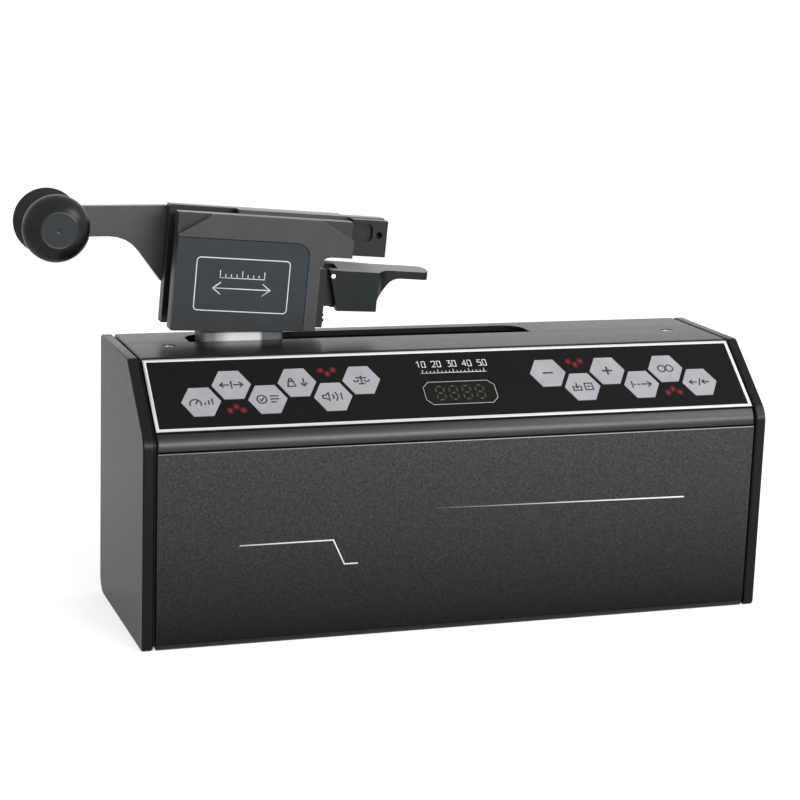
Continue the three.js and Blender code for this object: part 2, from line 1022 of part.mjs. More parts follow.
function motorSolid() {
  const left = motorPlateRight + seatGap;
  const can = alongX(
    circleOutline(drive.motorRadius, screwAt.x, screwAt.y, fineSides),
    left,
    left + drive.motorLength,
    { bevel: edgeBevel },
  );
  const boss = onScrewLine(
    drive.motorBossRadius,
    motorPlateLeft + drive.motorPlateWidth / 2,
    left + edgeBevel,
  );
  const shaftBore = onScrewLine(
    drive.motorShaftRadius + pinGap,
    motorPlateLeft,
    motorPlateRight + drive.motorPlateWidth + runGap,
  );
  return carve(fuse(can, boss), shaftBore);
}

function inletSolid() {
  const back = housing.depth + seatGap;
  const flange = alongY(
    centredBox(inlet.centre, inlet.height, inlet.flangeWidth, inlet.flangeHeight, inlet.cornerRadius),
    back,
    back + inlet.flange,
  );
  const body = alongY(
    centredBox(inlet.centre, inlet.height, inlet.bodyWidth, inlet.bodyHeight),
    back - inlet.bodyDepth,
    back + inlet.flange / 2,
  );
  const mouthFloor = back + inlet.flange - inlet.mouthDepth;
  const mouth = alongY(
    centredBox(inlet.centre, inlet.height, inlet.mouthWidth, inlet.mouthHeight, inlet.cornerRadius),
    mouthFloor,
    back + inlet.flange + overrun,
  );
  const contactPlaces = [
    [inlet.centre - inlet.contactSpread, inlet.height - inlet.contactRise],
    [inlet.centre + inlet.contactSpread, inlet.height - inlet.contactRise],
    [inlet.centre, inlet.height + inlet.contactRise],
  ];
  const contacts = contactPlaces.map(([x, z]) => alongY(
    centredBox(x, z, inlet.contactThickness, inlet.contactWidth),
    mouthFloor - inlet.flange,
    mouthFloor + inlet.contactLength,
  ));
  return fuse(carve(fuse(flange, body), mouth), ...contacts);
}

function switchFrameSolid() {
  const back = housing.depth + seatGap;
  const flange = alongY(
    centredBox(
      powerSwitch.centre,
      powerSwitch.height,
      powerSwitch.flangeWidth,
      powerSwitch.flangeHeight,
      edgeBevel,
    ),
    back,
    back + powerSwitch.flange,
  );
  const body = alongY(
    centredBox(powerSwitch.centre, powerSwitch.height, powerSwitch.bodyWidth, powerSwitch.bodyHeight),
    back - powerSwitch.bodyDepth,
    back + powerSwitch.flange / 2,
  );
  const well = alongY(
    centredBox(powerSwitch.centre, powerSwitch.height, powerSwitch.wellWidth, powerSwitch.wellHeight),
    back + powerSwitch.flange - powerSwitch.wellDepth,
    back + powerSwitch.flange + overrun,
  );
  return carve(fuse(flange, body), well);
}

// A two-faced rocker, stored with its lower half pressed in
function rockerSolid() {
  const halfHeight = powerSwitch.rockerHeight / 2;
  const lean = THREE.MathUtils.degToRad(powerSwitch.leanDegrees);
  const tipFront = powerSwitch.rockerFront + halfHeight * Math.tan(lean);
  const outline = [
    new THREE.Vector2(-powerSwitch.rockerBack, -halfHeight),
    new THREE.Vector2(tipFront, -halfHeight),
    new THREE.Vector2(powerSwitch.rockerFront, 0),
    new THREE.Vector2(tipFront, halfHeight),
    new THREE.Vector2(-powerSwitch.rockerBack, halfHeight),
  ];
  const halfWidth = powerSwitch.rockerWidth / 2;
  return alongX(outline, -halfWidth, halfWidth);
}

// The carriage and its neck

const carriageLeft = neckX - carriage.length / 2;
const carriageRight = neckX + carriage.length / 2;

function carriageBlockSolid() {
  const outline = boxOutline(
    slotMiddle - carriage.depth / 2,
    slotMiddle + carriage.depth / 2,
    carriageBottom,
    carriageTop,
    edgeBevel,
  );
  const from = carriageLeft - overrun;
  const to = carriageRight + overrun;
  return carve(
    alongX(outline, carriageLeft, carriageRight),
    rodAlongX(drive.nutRadius + seatGap, screwAt.x, screwAt.y, from, to),
    ...shaftYs.map((y) => rodAlongX(drive.shaftRadius + pinGap, y, shaftHeight, from, to)),
  );
}

function leadNutSolid() {
  const flangeLeft = carriageLeft - seatGap - drive.nutFlange;
  const flangeRight = carriageLeft - seatGap;
  const flange = rodAlongX(drive.nutFlangeRadius, screwAt.x, screwAt.y, flangeLeft, flangeRight);
  const barrel = rodAlongX(
    drive.nutRadius,
    screwAt.x,
    screwAt.y,
    flangeLeft + drive.nutFlange / 2,
    flangeLeft + drive.nutLength,
  );
  const thread = rodAlongX(
    drive.screwRadius + pinGap,
    screwAt.x,
    screwAt.y,
    flangeLeft - overrun,
    carriageRight + overrun,
  );
  return carve(fuse(flange, barrel), thread);
}

// The column stands a little left of the lug that carries the head's pivot
function neckSolid() {
  const column = alongZ(
    boxOutline(
      neckLeft,
      neckLeft + neck.length,
      slotMiddle - neck.depth / 2,
      slotMiddle + neck.depth / 2,
      neck.cornerRadius,
    ),
    carriageTop + seatGap,
    neckTop,
  );
  const lug = alongY(
    boxOutline(
      neckX - neck.lugLength / 2,
      neckX + neck.lugLength / 2,
      neckTop - overrun,
      lugTop,
      edgeBevel,
    ),
    headFront + frontPlateBack + runGap,
    headFront + rearPlateFront - runGap,
  );
  const pivotBore = alongY(
    circleOutline(head.pinRadius + pinGap, neckX, pivotHeight),
    headFront,
    housing.depth,
  );
  return carve(fuse(column, lug), pivotBore);
}

function loadCellSolid() {
  const left = neckX - loadCell.length / 2;
  const right = neckX + loadCell.length / 2;
  const bottom = lugTop + seatGap;
  const front = slotMiddle - loadCell.depth / 2;
  const back = slotMiddle + loadCell.depth / 2;
  const bar = alongY(boxOutline(left, right, bottom, bottom + loadCell.height), front, back);
  const gaugeWindow = alongY(
    centredBox(
      neckX,
      bottom + loadCell.height / 2,
      loadCell.windowLength,
      loadCell.windowHeight,
      loadCell.windowHeight / 2 - seatGap,
    ),
    front - overrun,
    back + overrun,
  );
  return carve(bar, gaugeWindow);
}

// The head's depths, from its front face back

const frontPlateFront = head.faceThickness + seatGap;
const frontPlateBack = frontPlateFront + head.frontThickness;
const rearPlateFront = frontPlateBack + head.gap;
const rearPlateBack = rearPlateFront + head.rearThickness;
const armFront = rearPlateBack + seatGap;
const armBack = armFront + head.armThickness;

function headPlateOutline(height) {
  return roundedOutline([
    [0, 0, 0],
    [head.columnWidth, head.columnRise, 0],
    [head.columnWidth, head.barUnderside, head.barCorner],
    [head.width, head.barUnderside, 0],
    [head.width, height, 0],
    [0, height, 0],
  ]);
}

function pivotCut() {
  return alongY(circleOutline(head.pinRadius + pinGap, head.pivotX, head.pivotZ), 0, armBack + overrun);
}

function headPlate(from, to, height) {
  return carve(alongY(headPlateOutline(height), from, to), pivotCut());
}

function coverOutline(grow) {
  return roundedOutline([
    [-grow, -grow, 0],
    [face.coverWidth + grow, face.coverRise - grow, 0],
    [face.coverWidth + grow, face.coverHeight + grow, face.coverRadius],
    [-grow, face.coverHeight + grow, 0],
  ]);
}

function faceFrameSolid() {
  const outline = roundedOutline([
    [0, face.coverHeight - overrun, 0],
    [face.coverWidth - overrun, face.coverHeight - overrun, 0],
    [face.coverWidth - overrun, face.coverRise, 0],
    [head.columnWidth, head.columnRise, 0],
    [head.columnWidth, head.barUnderside, head.barCorner],
    [head.width, head.barUnderside, 0],
    [head.width, head.height - face.rightChamferDrop, 0],
    [head.width - face.rightChamferWidth, head.height, 0],
    [face.leftChamferWidth, head.height, 0],
    [0, head.height - face.leftChamferDrop, 0],
  ]);
  const cutter = alongY(
    coverOutline(seatGap).map((point) => new THREE.Vector2(point.x <= 0 ? -overrun : point.x, point.y)),
    -overrun,
    head.faceThickness + overrun,
  );
  return carve(alongY(outline, 0, head.faceThickness), cutter);
}

function faceCoverSolid() {
  return alongY(coverOutline(0), 0, head.faceThickness);
}

// The arm runs level while the head leans, so it is kinked by the head's lean
function armSolid() {
  const lean = Math.tan(THREE.MathUtils.degToRad(head.leanDegrees));
  const half = arm.height / 2;
  const centreAt = (x) => spool.height - arm.drop + (x + spool.fromEdge) * lean;
  const top = centreAt(0) + half;
  const endX = -spool.fromEdge - half;
  const outline = roundedOutline([
    [endX, centreAt(endX) - half, half - seatGap],
    [-arm.curveX, centreAt(-arm.curveX) - half, arm.curveRadius],
    [0, arm.rootBottom, 0],
    [arm.rootRight, arm.rootBottom, 0],
    [arm.rootRight + arm.rootBottom, head.barUnderside, 0],
    [head.width, head.barUnderside, 0],
    [head.width, top, 0],
    [0, top, 0],
    [endX, centreAt(endX) + half, half - seatGap],
  ]);
  const boltHole = alongY(
    circleOutline(spool.boltRadius + seatGap, -spool.fromEdge, spool.height),
    armFront - overrun,
    armBack + overrun,
  );
  return carve(alongY(outline, armFront, armBack), boltHole);
}

// Two domed flanges face each other across a waist that lies level with the jaws' meeting plane
function spoolSolid() {
  const rimFront = 0;
  const rimBack = 2 * jaw.meetDepth - rimFront;
  const back = armFront - seatGap;
  const flatAngle = Math.asin(spool.noseRadius / spool.rimRadius);
  const crown = spool.noseReach / Math.cos(flatAngle);
  const dome = Array.from({ length: spool.domeSteps + 1 }, (_, step) => {
    const angle = flatAngle + (Math.PI / 2 - flatAngle) * (step / spool.domeSteps);
    return [
      spool.rimRadius * Math.sin(angle),
      rimFront - crown * Math.cos(angle),
    ];
  });
  const profile = [
    [0, rimFront - spool.noseReach],
    ...dome,
    [spool.rimRadius, rimFront + spool.rimLand],
    [spool.waistRadius, jaw.meetDepth - spool.waistLand / 2],
    [spool.waistRadius, jaw.meetDepth + spool.waistLand / 2],
    [spool.rimRadius, rimBack - spool.rimLand],
    [spool.rimRadius, back - spool.backFillet],
    [spool.rimRadius - spool.backFillet, back],
    [spool.boltRadius + seatGap, back],
    [spool.boltRadius + seatGap, back - spool.boltDepth],
    [0, back - spool.boltDepth],
  ];
  return turnedAboutY(profile, fineSides).translate(-spool.fromEdge, 0, spool.height);
}

function spoolBoltSolid() {
  const tip = armFront - spool.boltDepth;
  const headFace = armBack + seatGap;
  const profile = [
    [0, tip],
    [spool.boltRadius, tip],
    [spool.boltRadius, headFace],
    [spool.boltHeadRadius, headFace],
    [spool.boltHeadRadius, headFace + spool.boltHead],
    [0, headFace + spool.boltHead],
  ];
  return turnedAboutY(profile).translate(-spool.fromEdge, 0, spool.height);
}

// Clamping jaws

function pegPlaces() {
  return [jaw.pegLeft, jaw.pegRight];
}

function rearJawSolid() {
  const front = jaw.meetDepth + pinGap;
  const back = rearPlateFront - seatGap;
  const plan = roundedOutline([
    [jaw.left, front, 0],
    [jaw.right, front, jaw.endRadius / 2],
    [jaw.right, back, jaw.endRadius],
    [jaw.left, back, jaw.endRadius],
  ]);
  const pegs = pegPlaces().map((x) => alongY(
    circleOutline(jaw.pegRadius, x, jaw.pegZ, roundSides / 2),
    front - jaw.pegLength,
    front + overrun,
  ));
  return fuse(alongZ(plan, jaw.bottom, jaw.rearTop), ...pegs);
}

// A thin moving jaw behind the front plate, with a thick end block that clears it
function frontJawSolid() {
  const back = jaw.meetDepth - pinGap;
  const blade = alongY(
    boxOutline(jaw.left, jaw.blockLeft + overrun, jaw.bottom, jaw.frontTop),
    frontPlateBack + jaw.travel + seatGap,
    back,
  );
  const block = alongY(
    boxOutline(jaw.blockLeft, jaw.frontRight, jaw.bottom, jaw.blockTop),
    jaw.blockFront,
    back,
  );
  const pocket = alongY(
    roundedOutline([
      [jaw.blockLeft - overrun, jaw.pocketBottom, 0],
      [jaw.pocketRight, jaw.pocketBottom, jaw.pocketRadius],
      [jaw.pocketRight, jaw.pocketTop, jaw.pocketRadius],
      [jaw.blockLeft - overrun, jaw.pocketTop, 0],
    ]),
    -overrun,
    jaw.blockFront + jaw.pocketDepth,
  );
  const screwHole = alongY(
    circleOutline(jaw.holeRadius, jaw.holeX, jaw.holeZ),
    -overrun,
    jaw.blockFront + jaw.holeDepth,
  );
  const pegHoles = pegPlaces().map((x) => alongY(
    circleOutline(jaw.pegRadius + seatGap, x, jaw.pegZ, roundSides / 2),
    -overrun,
    back + overrun,
  ));
  return carve(fuse(blade, block), pocket, screwHole, ...pegHoles);
}

// Release gear at the right of the head

function plungerBore(from, to) {
  return alongX(circleOutline(plunger.radius + seatGap, plunger.depth, plunger.height), from, to);
}

function spacerSolid() {
  const body = alongY(
    boxOutline(spacer.left, head.columnWidth, spacer.bottom, spacer.top, edgeBevel),
    frontPlateBack + seatGap,
    rearPlateFront - seatGap,
  );
  return carve(body, plungerBore(spacer.left - overrun, head.columnWidth + overrun));
}

const bracketLeft = head.columnWidth + seatGap;
const bracketFront = frontPlateBack + seatGap;
const tongueFront = frontPlateBack + bracket.tongueInset;
const tongueBack = tongueFront + bracket.tongueWidth;
const leverFront = frontPlateBack;
const leverBack = leverFront + lever.width;

function bracketSolid() {
  const body = alongY(
    boxOutline(bracketLeft, bracket.right, bracket.bottom, bracket.top, edgeBevel),
    bracketFront,
    bracketFront + bracket.depth,
  );
  const tongueRight = lever.pinX + bracket.tongueReach;
  const tongueTop = lever.pinZ + bracket.tongueReach;
  const tongue = alongY(
    roundedOutline([
      [bracket.right - overrun, bracket.tongueBottom, 0],
      [tongueRight, bracket.tongueBottom, edgeBevel],
      [tongueRight, tongueTop, bracket.tongueReach],
      [bracket.right - overrun, tongueTop, 0],
    ]),
    tongueFront,
    tongueBack,
  );
  const pinBore = alongY(
    circleOutline(lever.pinRadius + pinGap, lever.pinX, lever.pinZ),
    bracketFront - overrun,
    bracketFront + bracket.depth + overrun,
  );
  const slidingBore = plungerBore(bracketLeft - overrun, tongueRight + overrun);
  return carve(fuse(body, tongue), pinBore, slidingBore);
}

function leverPinSolid() {
  return alongY(circleOutline(lever.pinRadius, lever.pinX, lever.pinZ), leverFront, leverBack);
}

const leverFaceTan = Math.tan(THREE.MathUtils.degToRad(lever.faceDegrees));

// The slanted face's X at a given height
function leverFaceX(height) {
  return lever.left + (lever.blockTop - height) * leverFaceTan;
}

// The fork's floor slants like the face, and the plunger's nose rests on it
function forkFloorX(height) {
  return lever.pinX + lever.slotBehindPin + (lever.pinZ - height) * leverFaceTan;
}

function leverSideOutline() {
  return roundedOutline([
    [lever.left, lever.blockTop, 0],
    [leverFaceX(lever.blockBottom), lever.blockBottom, 0],
    [lever.blockRight, lever.blockBottom + lever.blockRightRise, 0],
    [lever.blockRight, lever.sweepStart, 0],
    [lever.blockRight + lever.sweepLength, lever.paddleUnder, lever.sweepRadius],
    [lever.paddleEnd, lever.paddleUnder, edgeBevel],
    [lever.paddleEnd, lever.paddleTop, 0],
    [lever.left + edgeBevel, lever.paddleTop, 0],
  ]);
}

// Seen from above, the paddle is narrower than the block at both sides and has round corners
function leverPlanOutline() {
  const paddleFront = leverFront + lever.paddleInset;
  const paddleBack = leverBack - lever.paddleBackInset;
  return roundedOutline([
    [lever.left - overrun, leverFront, 0],
    [lever.blockRight, leverFront, 0],
    [lever.blockRight + lever.frontTaper, paddleFront, lever.sideRadius],
    [lever.paddleEnd, paddleFront, lever.frontCornerRadius],
    [lever.paddleEnd, paddleBack, lever.backCornerRadius],
    [lever.blockRight, paddleBack, lever.sideRadius],
    [lever.blockRight - lever.backTaper, leverBack, lever.sideRadius],
    [lever.left - overrun, leverBack, 0],
  ]);
}

function leverSolid() {
  const side = alongY(leverSideOutline(), leverFront, leverBack);
  const plan = alongZ(leverPlanOutline(), 0, lever.paddleTop + overrun);
  const slant = (lever.paddleTop - lever.blockTop) / lever.width;
  const aboveTop = lever.paddleTop + overrun;
  const overTop = alongX(
    [
      new THREE.Vector2(leverFront - overrun, lever.blockTop - slant * overrun),
      new THREE.Vector2(leverBack + overrun, lever.paddleTop + slant * overrun),
      new THREE.Vector2(leverBack + overrun, aboveTop),
      new THREE.Vector2(leverFront - overrun, aboveTop),
    ],
    lever.left - overrun,
    lever.paddleEnd + overrun,
  );
  const belowBlock = lever.blockBottom - overrun;
  const forkSlot = alongY(
    [
      new THREE.Vector2(lever.left - overrun, belowBlock),
      new THREE.Vector2(forkFloorX(belowBlock), belowBlock),
      new THREE.Vector2(forkFloorX(aboveTop), aboveTop),
      new THREE.Vector2(lever.left - overrun, aboveTop),
    ],
    tongueFront - seatGap,
    tongueBack + seatGap,
  );
  const pinBore = alongY(
    circleOutline(lever.pinRadius + pinGap, lever.pinX, lever.pinZ),
    leverFront - overrun,
    leverBack + overrun,
  );
  return carve(common(side, plan), overTop, forkSlot, pinBore);
}

function plungerSolid() {
  const tip = forkFloorX(plunger.height + plunger.noseRadius) - seatGap;
  const profile = [
    [0, plunger.left],
    [plunger.radius, plunger.left],
    [plunger.radius, tip - plunger.noseLength],
    [plunger.noseRadius, tip],
    [0, tip],
  ];
  return turnedAboutX(profile).translate(0, plunger.depth, plunger.height);
}

function pivotPinSolid() {
  return alongY(
    circleOutline(head.pinRadius, neckX, pivotHeight),
    headFront + frontPlateFront + seatGap,
    headFront + rearPlateBack,
  );
}

// The machine, put together from its pieces

function controlFace() {
  const group = new THREE.Group();
  group.position.set(0, housing.topSetBack, housing.height);
  group.rotation.x = slopeAngle;
  group.add(piece('control_overlay', overlaySolid(), overlayFilm()));
  group.add(piece('display_window', displayWindowSolid(), darkGlass()));
  group.add(piece('display_module', displayModuleSolid(), blackPlastic()));
  keyPlaces().forEach((place) => group.add(piece(place.name, keySolid(place), keyPlastic())));
  lampPlaces().forEach((place, index) => {
    group.add(piece(`indicator_lamps_${index + 1}`, lampSolid(place), redLamp()));
  });
  return group;
}

function enclosure() {
  const group = new THREE.Group();
  group.add(piece('front_shell', frontShell(), blackAnodised()));
  group.add(piece('rear_shell', rearShell(), blackAnodised()));
  group.add(piece('left_end_plate', leftEndPlate(), blackAnodised()));
  group.add(piece('right_end_plate', rightEndPlate(), blackAnodised()));
  group.add(piece('front_panel', frontPanelSolid(), darkPanel()));
  screwXs().forEach((x, index) => {
    group.add(piece(index ? 'top_screw_right' : 'top_screw_left', topScrewSolid(x), brightSteel()));
  });
  return group;
}

function mechanism() {
  const group = new THREE.Group();
  shaftYs.forEach((y, index) => {
    group.add(piece(index ? 'guide_shaft_rear' : 'guide_shaft_front', shaftSolid(y), brightSteel()));
  });
  const nearBlock = shaftBlockSolid(nearBlockLeft, drive.screwRadius + pinGap);
  const farBlock = shaftBlockSolid(farBlockLeft, drive.bearingRadius + seatGap);
  group.add(piece('shaft_block_left', nearBlock, plainAluminium()));
  group.add(piece('shaft_block_right', farBlock, plainAluminium()));
  group.add(piece('screw_bearing', screwBearingSolid(), brightSteel()));
  group.add(piece('lead_screw', leadScrewSolid(), brightSteel()));
  group.add(piece('shaft_coupling', shaftCouplingSolid(), plainAluminium()));
  group.add(piece('motor_shaft', motorShaftSolid(), brightSteel()));
  group.add(piece('motor_plate', motorPlateSolid(), plainAluminium()));
  group.add(piece('motor', motorSolid(), plainAluminium()));
  return group;
}

function electrics() {
  const group = new THREE.Group();
  group.add(piece('control_board', boardSolid(), boardGreen()));
  group.add(piece('power_supply', supplySolid(), plainAluminium()));
  group.add(piece('power_inlet', inletSolid(), blackPlastic()));
  group.add(piece('switch_frame', switchFrameSolid(), blackPlastic()));
  const rocker = piece('power_rocker', rockerSolid(), blackPlastic());
  const rockerPivot = housing.depth + seatGap + powerSwitch.flange - powerSwitch.pivotDepth;
  rocker.position.set(powerSwitch.centre, rockerPivot, powerSwitch.height);
  rocker.rotation.x = THREE.MathUtils.degToRad(-powerSwitch.leanDegrees);
  group.add(rocker);
  return group;
}

function carriageGroup() {
  const group = new THREE.Group();
  group.add(piece('carriage_block', carriageBlockSolid(), plainAluminium()));
  group.add(piece('lead_nut', leadNutSolid(), bronze()));
  group.add(piece('neck_post', neckSolid(), polishedAluminium()));
  group.add(piece('load_cell', loadCellSolid(), plainAluminium()));
  group.add(piece('pivot_pin', pivotPinSolid(), brightSteel()));
  return group;
}

// The head leans about its pivot pin, and its pieces are placed from its lower left front corner
function tensionHead() {
  const leaning = new THREE.Group();
  leaning.position.set(neckX, headFront, pivotHeight);
  leaning.rotation.y = THREE.MathUtils.degToRad(head.leanDegrees);
  const group = new THREE.Group();
  group.position.set(-head.pivotX, 0, -head.pivotZ);
  leaning.add(group);
  const frontPlate = headPlate(frontPlateFront, frontPlateBack, head.height);
  const rearPlate = headPlate(rearPlateFront, rearPlateBack, head.height + head.rearRise);
  group.add(piece('front_plate', frontPlate, blackAnodised()));
  group.add(piece('rear_plate', rearPlate, blackAnodised()));
  group.add(piece('face_frame', faceFrameSolid(), blackAnodised()));
  group.add(piece('face_cover', faceCoverSolid(), blackPlastic()));
  group.add(piece('spool_arm', armSolid(), blackAnodised()));
  group.add(piece('spool', spoolSolid(), blackAnodised()));
  group.add(piece('spool_bolt', spoolBoltSolid(), brightSteel()));
  group.add(piece('rear_jaw', rearJawSolid(), blackAnodised()));
  group.add(piece('front_jaw', frontJawSolid(), blackAnodised()));
  group.add(piece('spacer_block', spacerSolid(), blackAnodised()));
  group.add(piece('lever_bracket', bracketSolid(), blackAnodised()));
  group.add(piece('lever_pin', leverPinSolid(), brightSteel()));
  group.add(piece('lever', leverSolid(), blackPlastic()));
  group.add(piece('release_plunger', plungerSolid(), brightSteel()));
  return leaning;
}

const machine = new THREE.Group();
machine.position.set(-boxCentre, -housing.depth / 2, 0);
machine.add(enclosure(), controlFace(), mechanism(), electrics(), carriageGroup(), tensionHead());

export default machine;
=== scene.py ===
"""Looks for an electronic racket stringing machine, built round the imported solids.

Lengths of shapes are in millimetres, and the local frames turn them into metres. Materials, camera
and lamps are in metres.
"""

import math

import bmesh
import bpy
from mathutils import Matrix, Vector


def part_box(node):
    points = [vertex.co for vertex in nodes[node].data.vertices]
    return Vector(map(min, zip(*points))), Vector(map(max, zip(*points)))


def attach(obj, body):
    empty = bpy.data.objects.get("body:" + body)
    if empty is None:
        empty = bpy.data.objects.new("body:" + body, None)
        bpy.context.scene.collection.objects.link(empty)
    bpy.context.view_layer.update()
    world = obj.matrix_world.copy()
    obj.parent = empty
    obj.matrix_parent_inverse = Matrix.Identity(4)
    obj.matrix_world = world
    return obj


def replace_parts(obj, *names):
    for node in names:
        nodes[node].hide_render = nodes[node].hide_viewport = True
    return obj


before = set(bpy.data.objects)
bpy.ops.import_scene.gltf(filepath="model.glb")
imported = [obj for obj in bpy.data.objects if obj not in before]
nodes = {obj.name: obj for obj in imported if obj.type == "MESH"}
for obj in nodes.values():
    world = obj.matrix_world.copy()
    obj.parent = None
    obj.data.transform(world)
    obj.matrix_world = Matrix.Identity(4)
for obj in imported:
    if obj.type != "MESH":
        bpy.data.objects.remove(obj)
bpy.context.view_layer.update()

MM = 0.001
# The housing's box, the foot of its slope, and how far the slope runs back
LENGTH, DEPTH, HEIGHT = 400.0, 126.0, 166.0
SHOULDER, SET_BACK = 127.0, 46.0
SLOPE = math.atan2(HEIGHT - SHOULDER, SET_BACK)
# How far the head leans at rest, and its pivot in the shared frame and on its own axes
LEAN = math.radians(4.1)
PIVOT = Vector((-114.0, 19.0, 186.0))
PIVOT_IN_HEAD = Vector((50.7, 0.0, 14.7))
# How far a print stands out of its face and how far it reaches in
PRINT, PRINT_SINK = 0.04, 0.02


# Local frames: each turns millimetres of its own into metres of the shared frame


def scaled(matrix):
    return Matrix.Scale(MM, 4) @ matrix


def facing(base, at, right, up):
    """A frame on a face: X along right, Y along up, Z out of the face."""
    right, up = Vector(right), Vector(up)
    turn = Matrix((right, up, right.cross(up))).transposed().to_4x4()
    return base @ Matrix.Translation(at) @ turn


RIGHT, LEFT, BACK, FORTH, UP = (1, 0, 0), (-1, 0, 0), (0, 1, 0), (0, -1, 0), (0, 0, 1)
WORLD = scaled(Matrix.Identity(4))
# X from the housing's left end, Y up the slope from its top edge
ON_SLOPE = scaled(
    Matrix.Translation((-LENGTH / 2, SET_BACK - DEPTH / 2, HEIGHT)) @ Matrix.Rotation(SLOPE, 4, "X")
)
# X from the left end, Y up from the floor
ON_FRONT = facing(WORLD, (-LENGTH / 2, -DEPTH / 2, 0), RIGHT, UP)
# X from the middle towards the left end, Y up from the floor
ON_BACK = facing(WORLD, (0, DEPTH / 2, 0), LEFT, UP)
# The head's own axes: X right, Y back from its front face, Z up
IN_HEAD = scaled(
    Matrix.Translation(PIVOT) @ Matrix.Rotation(LEAN, 4, "Y") @ Matrix.Translation(-PIVOT_IN_HEAD)
)
ON_HEAD = facing(IN_HEAD, (0, 0, 0), RIGHT, UP)


# Node materials

EVEN, ALONG_X = (1, 1, 1), (0.02, 1, 1)
# Most of a noise lies between these
NOISE_LOW, NOISE_HIGH = 0.3, 0.7
# Sockets of a mix node that mixes colours
MIX_FIRST, MIX_SECOND, MIX_RESULT = 6, 7, 2


def add_node(tree, kind, inputs=None, **settings):
    """A new node. Each input is a socket to link or a value to set."""
    made = tree.nodes.new(kind)
    for key, value in settings.items():
        setattr(made, key, value)
    for socket, value in (inputs or {}).items():
        if isinstance(value, bpy.types.NodeSocket):
            tree.links.new(value, made.inputs[socket])
        else:
            made.inputs[socket].default_value = value
    return made


class Surface:
    """A material with one Principled shader and short calls for what feeds it."""

    def __init__(self, name, colour, roughness, metallic=0.0, **more):
        self.material = bpy.data.materials.new(name)
        self.material.use_nodes = True
        self.tree = self.material.node_tree
        self.shader = self.tree.nodes["Principled BSDF"]
        self.colour = colour
        self.normal = None
        self.set("Base Color", (*colour, 1))
        self.set("Roughness", roughness)
        self.set("Metallic", metallic)
        for key, value in more.items():
            self.set(key.replace("_", " "), value)

    def set(self, socket, value):
        self.shader.inputs[socket].default_value = value

    def feed(self, socket, source):
        self.tree.links.new(source, self.shader.inputs[socket])

    def node(self, kind, inputs=None, **settings):
        return add_node(self.tree, kind, inputs, **settings)

    def position(self):
        """The place on the object, in metres."""
        return self.node("ShaderNodeTexCoord").outputs["Object"]

    def reach(self, vector, axis, start, full):
        """How far a vector reaches along an axis: 0 at start and 1 at full."""
        split = self.node("ShaderNodeSeparateXYZ", {"Vector": vector})
        return self.span(split.outputs[axis], 0.0, 1.0, start, full)

    def noise(self, scale, detail, roughness=0.5, stretch=EVEN):
        mapping = self.node("ShaderNodeMapping", {"Vector": self.position(), "Scale": stretch})
        made = self.node("ShaderNodeTexNoise", {
            "Vector": mapping.outputs["Vector"],
            "Scale": scale, "Detail": detail, "Roughness": roughness,
        })
        return made.outputs["Fac"]

    def cells(self, scale, feature="F1"):
        inputs = {"Vector": self.position(), "Scale": scale}
        return self.node("ShaderNodeTexVoronoi", inputs, feature=feature).outputs["Distance"]

    def ramp(self, factor, stops):
        made = self.node("ShaderNodeValToRGB", {"Fac": factor})
        elements = made.color_ramp.elements
        while len(elements) < len(stops):
            elements.new(0.5)
        for element, (position, colour) in zip(elements, stops):
            element.position = position
            element.color = (*colour, 1)
        return made.outputs["Color"]

    def span(self, factor, low, high, from_low=NOISE_LOW, from_high=NOISE_HIGH):
        made = self.node("ShaderNodeMapRange", {
            "Value": factor,
            "From Min": from_low, "From Max": from_high, "To Min": low, "To Max": high,
        })
        return made.outputs["Result"]

    def mix(self, factor, first, second, blend="MIX"):
        inputs = {"Factor": factor, MIX_FIRST: first, MIX_SECOND: second}
        made = self.node("ShaderNodeMix", inputs, data_type="RGBA", blend_type=blend)
        return made.outputs[MIX_RESULT]

    def tints(self, stops):
        """Stops of a ramp, each with a multiple of the surface's colour."""
        return [(position, [times * c for c in self.colour]) for position, times in stops]

    def vary_colour(self, factor, low, high):
        tints = self.tints([(NOISE_LOW, low), (NOISE_HIGH, high)])
        self.feed("Base Color", self.ramp(factor, tints))

    def vary_roughness(self, factor, low, high):
        self.feed("Roughness", self.span(factor, low, high))

    def painted_sheen_facing(self, colour, axis="Z", start=0.75, full=0.97):
        """A painted sheen: a paler tone on faces that look along an axis, up where nothing else is
        said.
        """
        base = self.shader.inputs["Base Color"].links[0].from_socket
        normal = self.node("ShaderNodeNewGeometry").outputs["Normal"]
        factor = self.reach(normal, axis, start, full)
        self.feed("Base Color", self.mix(factor, base, (*colour, 1)))
        return self

    def bump(self, height, distance, strength):
        """Fine relief, on top of any that the surface has."""
        inputs = {"Height": height, "Distance": distance, "Strength": strength}
        if self.normal is not None:
            inputs["Normal"] = self.normal
        self.normal = self.node("ShaderNodeBump", inputs).outputs["Normal"]
        self.feed("Normal", self.normal)

    def rings(self, centre, scale):
        """Marks of the lathe, round a line along Y through centre, in metres."""
        place = self.position()
        for operation, value in (("SUBTRACT", centre), ("MULTIPLY", (1, 0, 1))):
            made = self.node("ShaderNodeVectorMath", {0: place, 1: value}, operation=operation)
            place = made.outputs["Vector"]
        radius = self.node("ShaderNodeVectorMath", {0: place}, operation="LENGTH").outputs["Value"]
        inputs = {"W": radius, "Scale": scale, "Detail": 4.0}
        return self.node("ShaderNodeTexNoise", inputs, noise_dimensions="1D").outputs["Fac"]


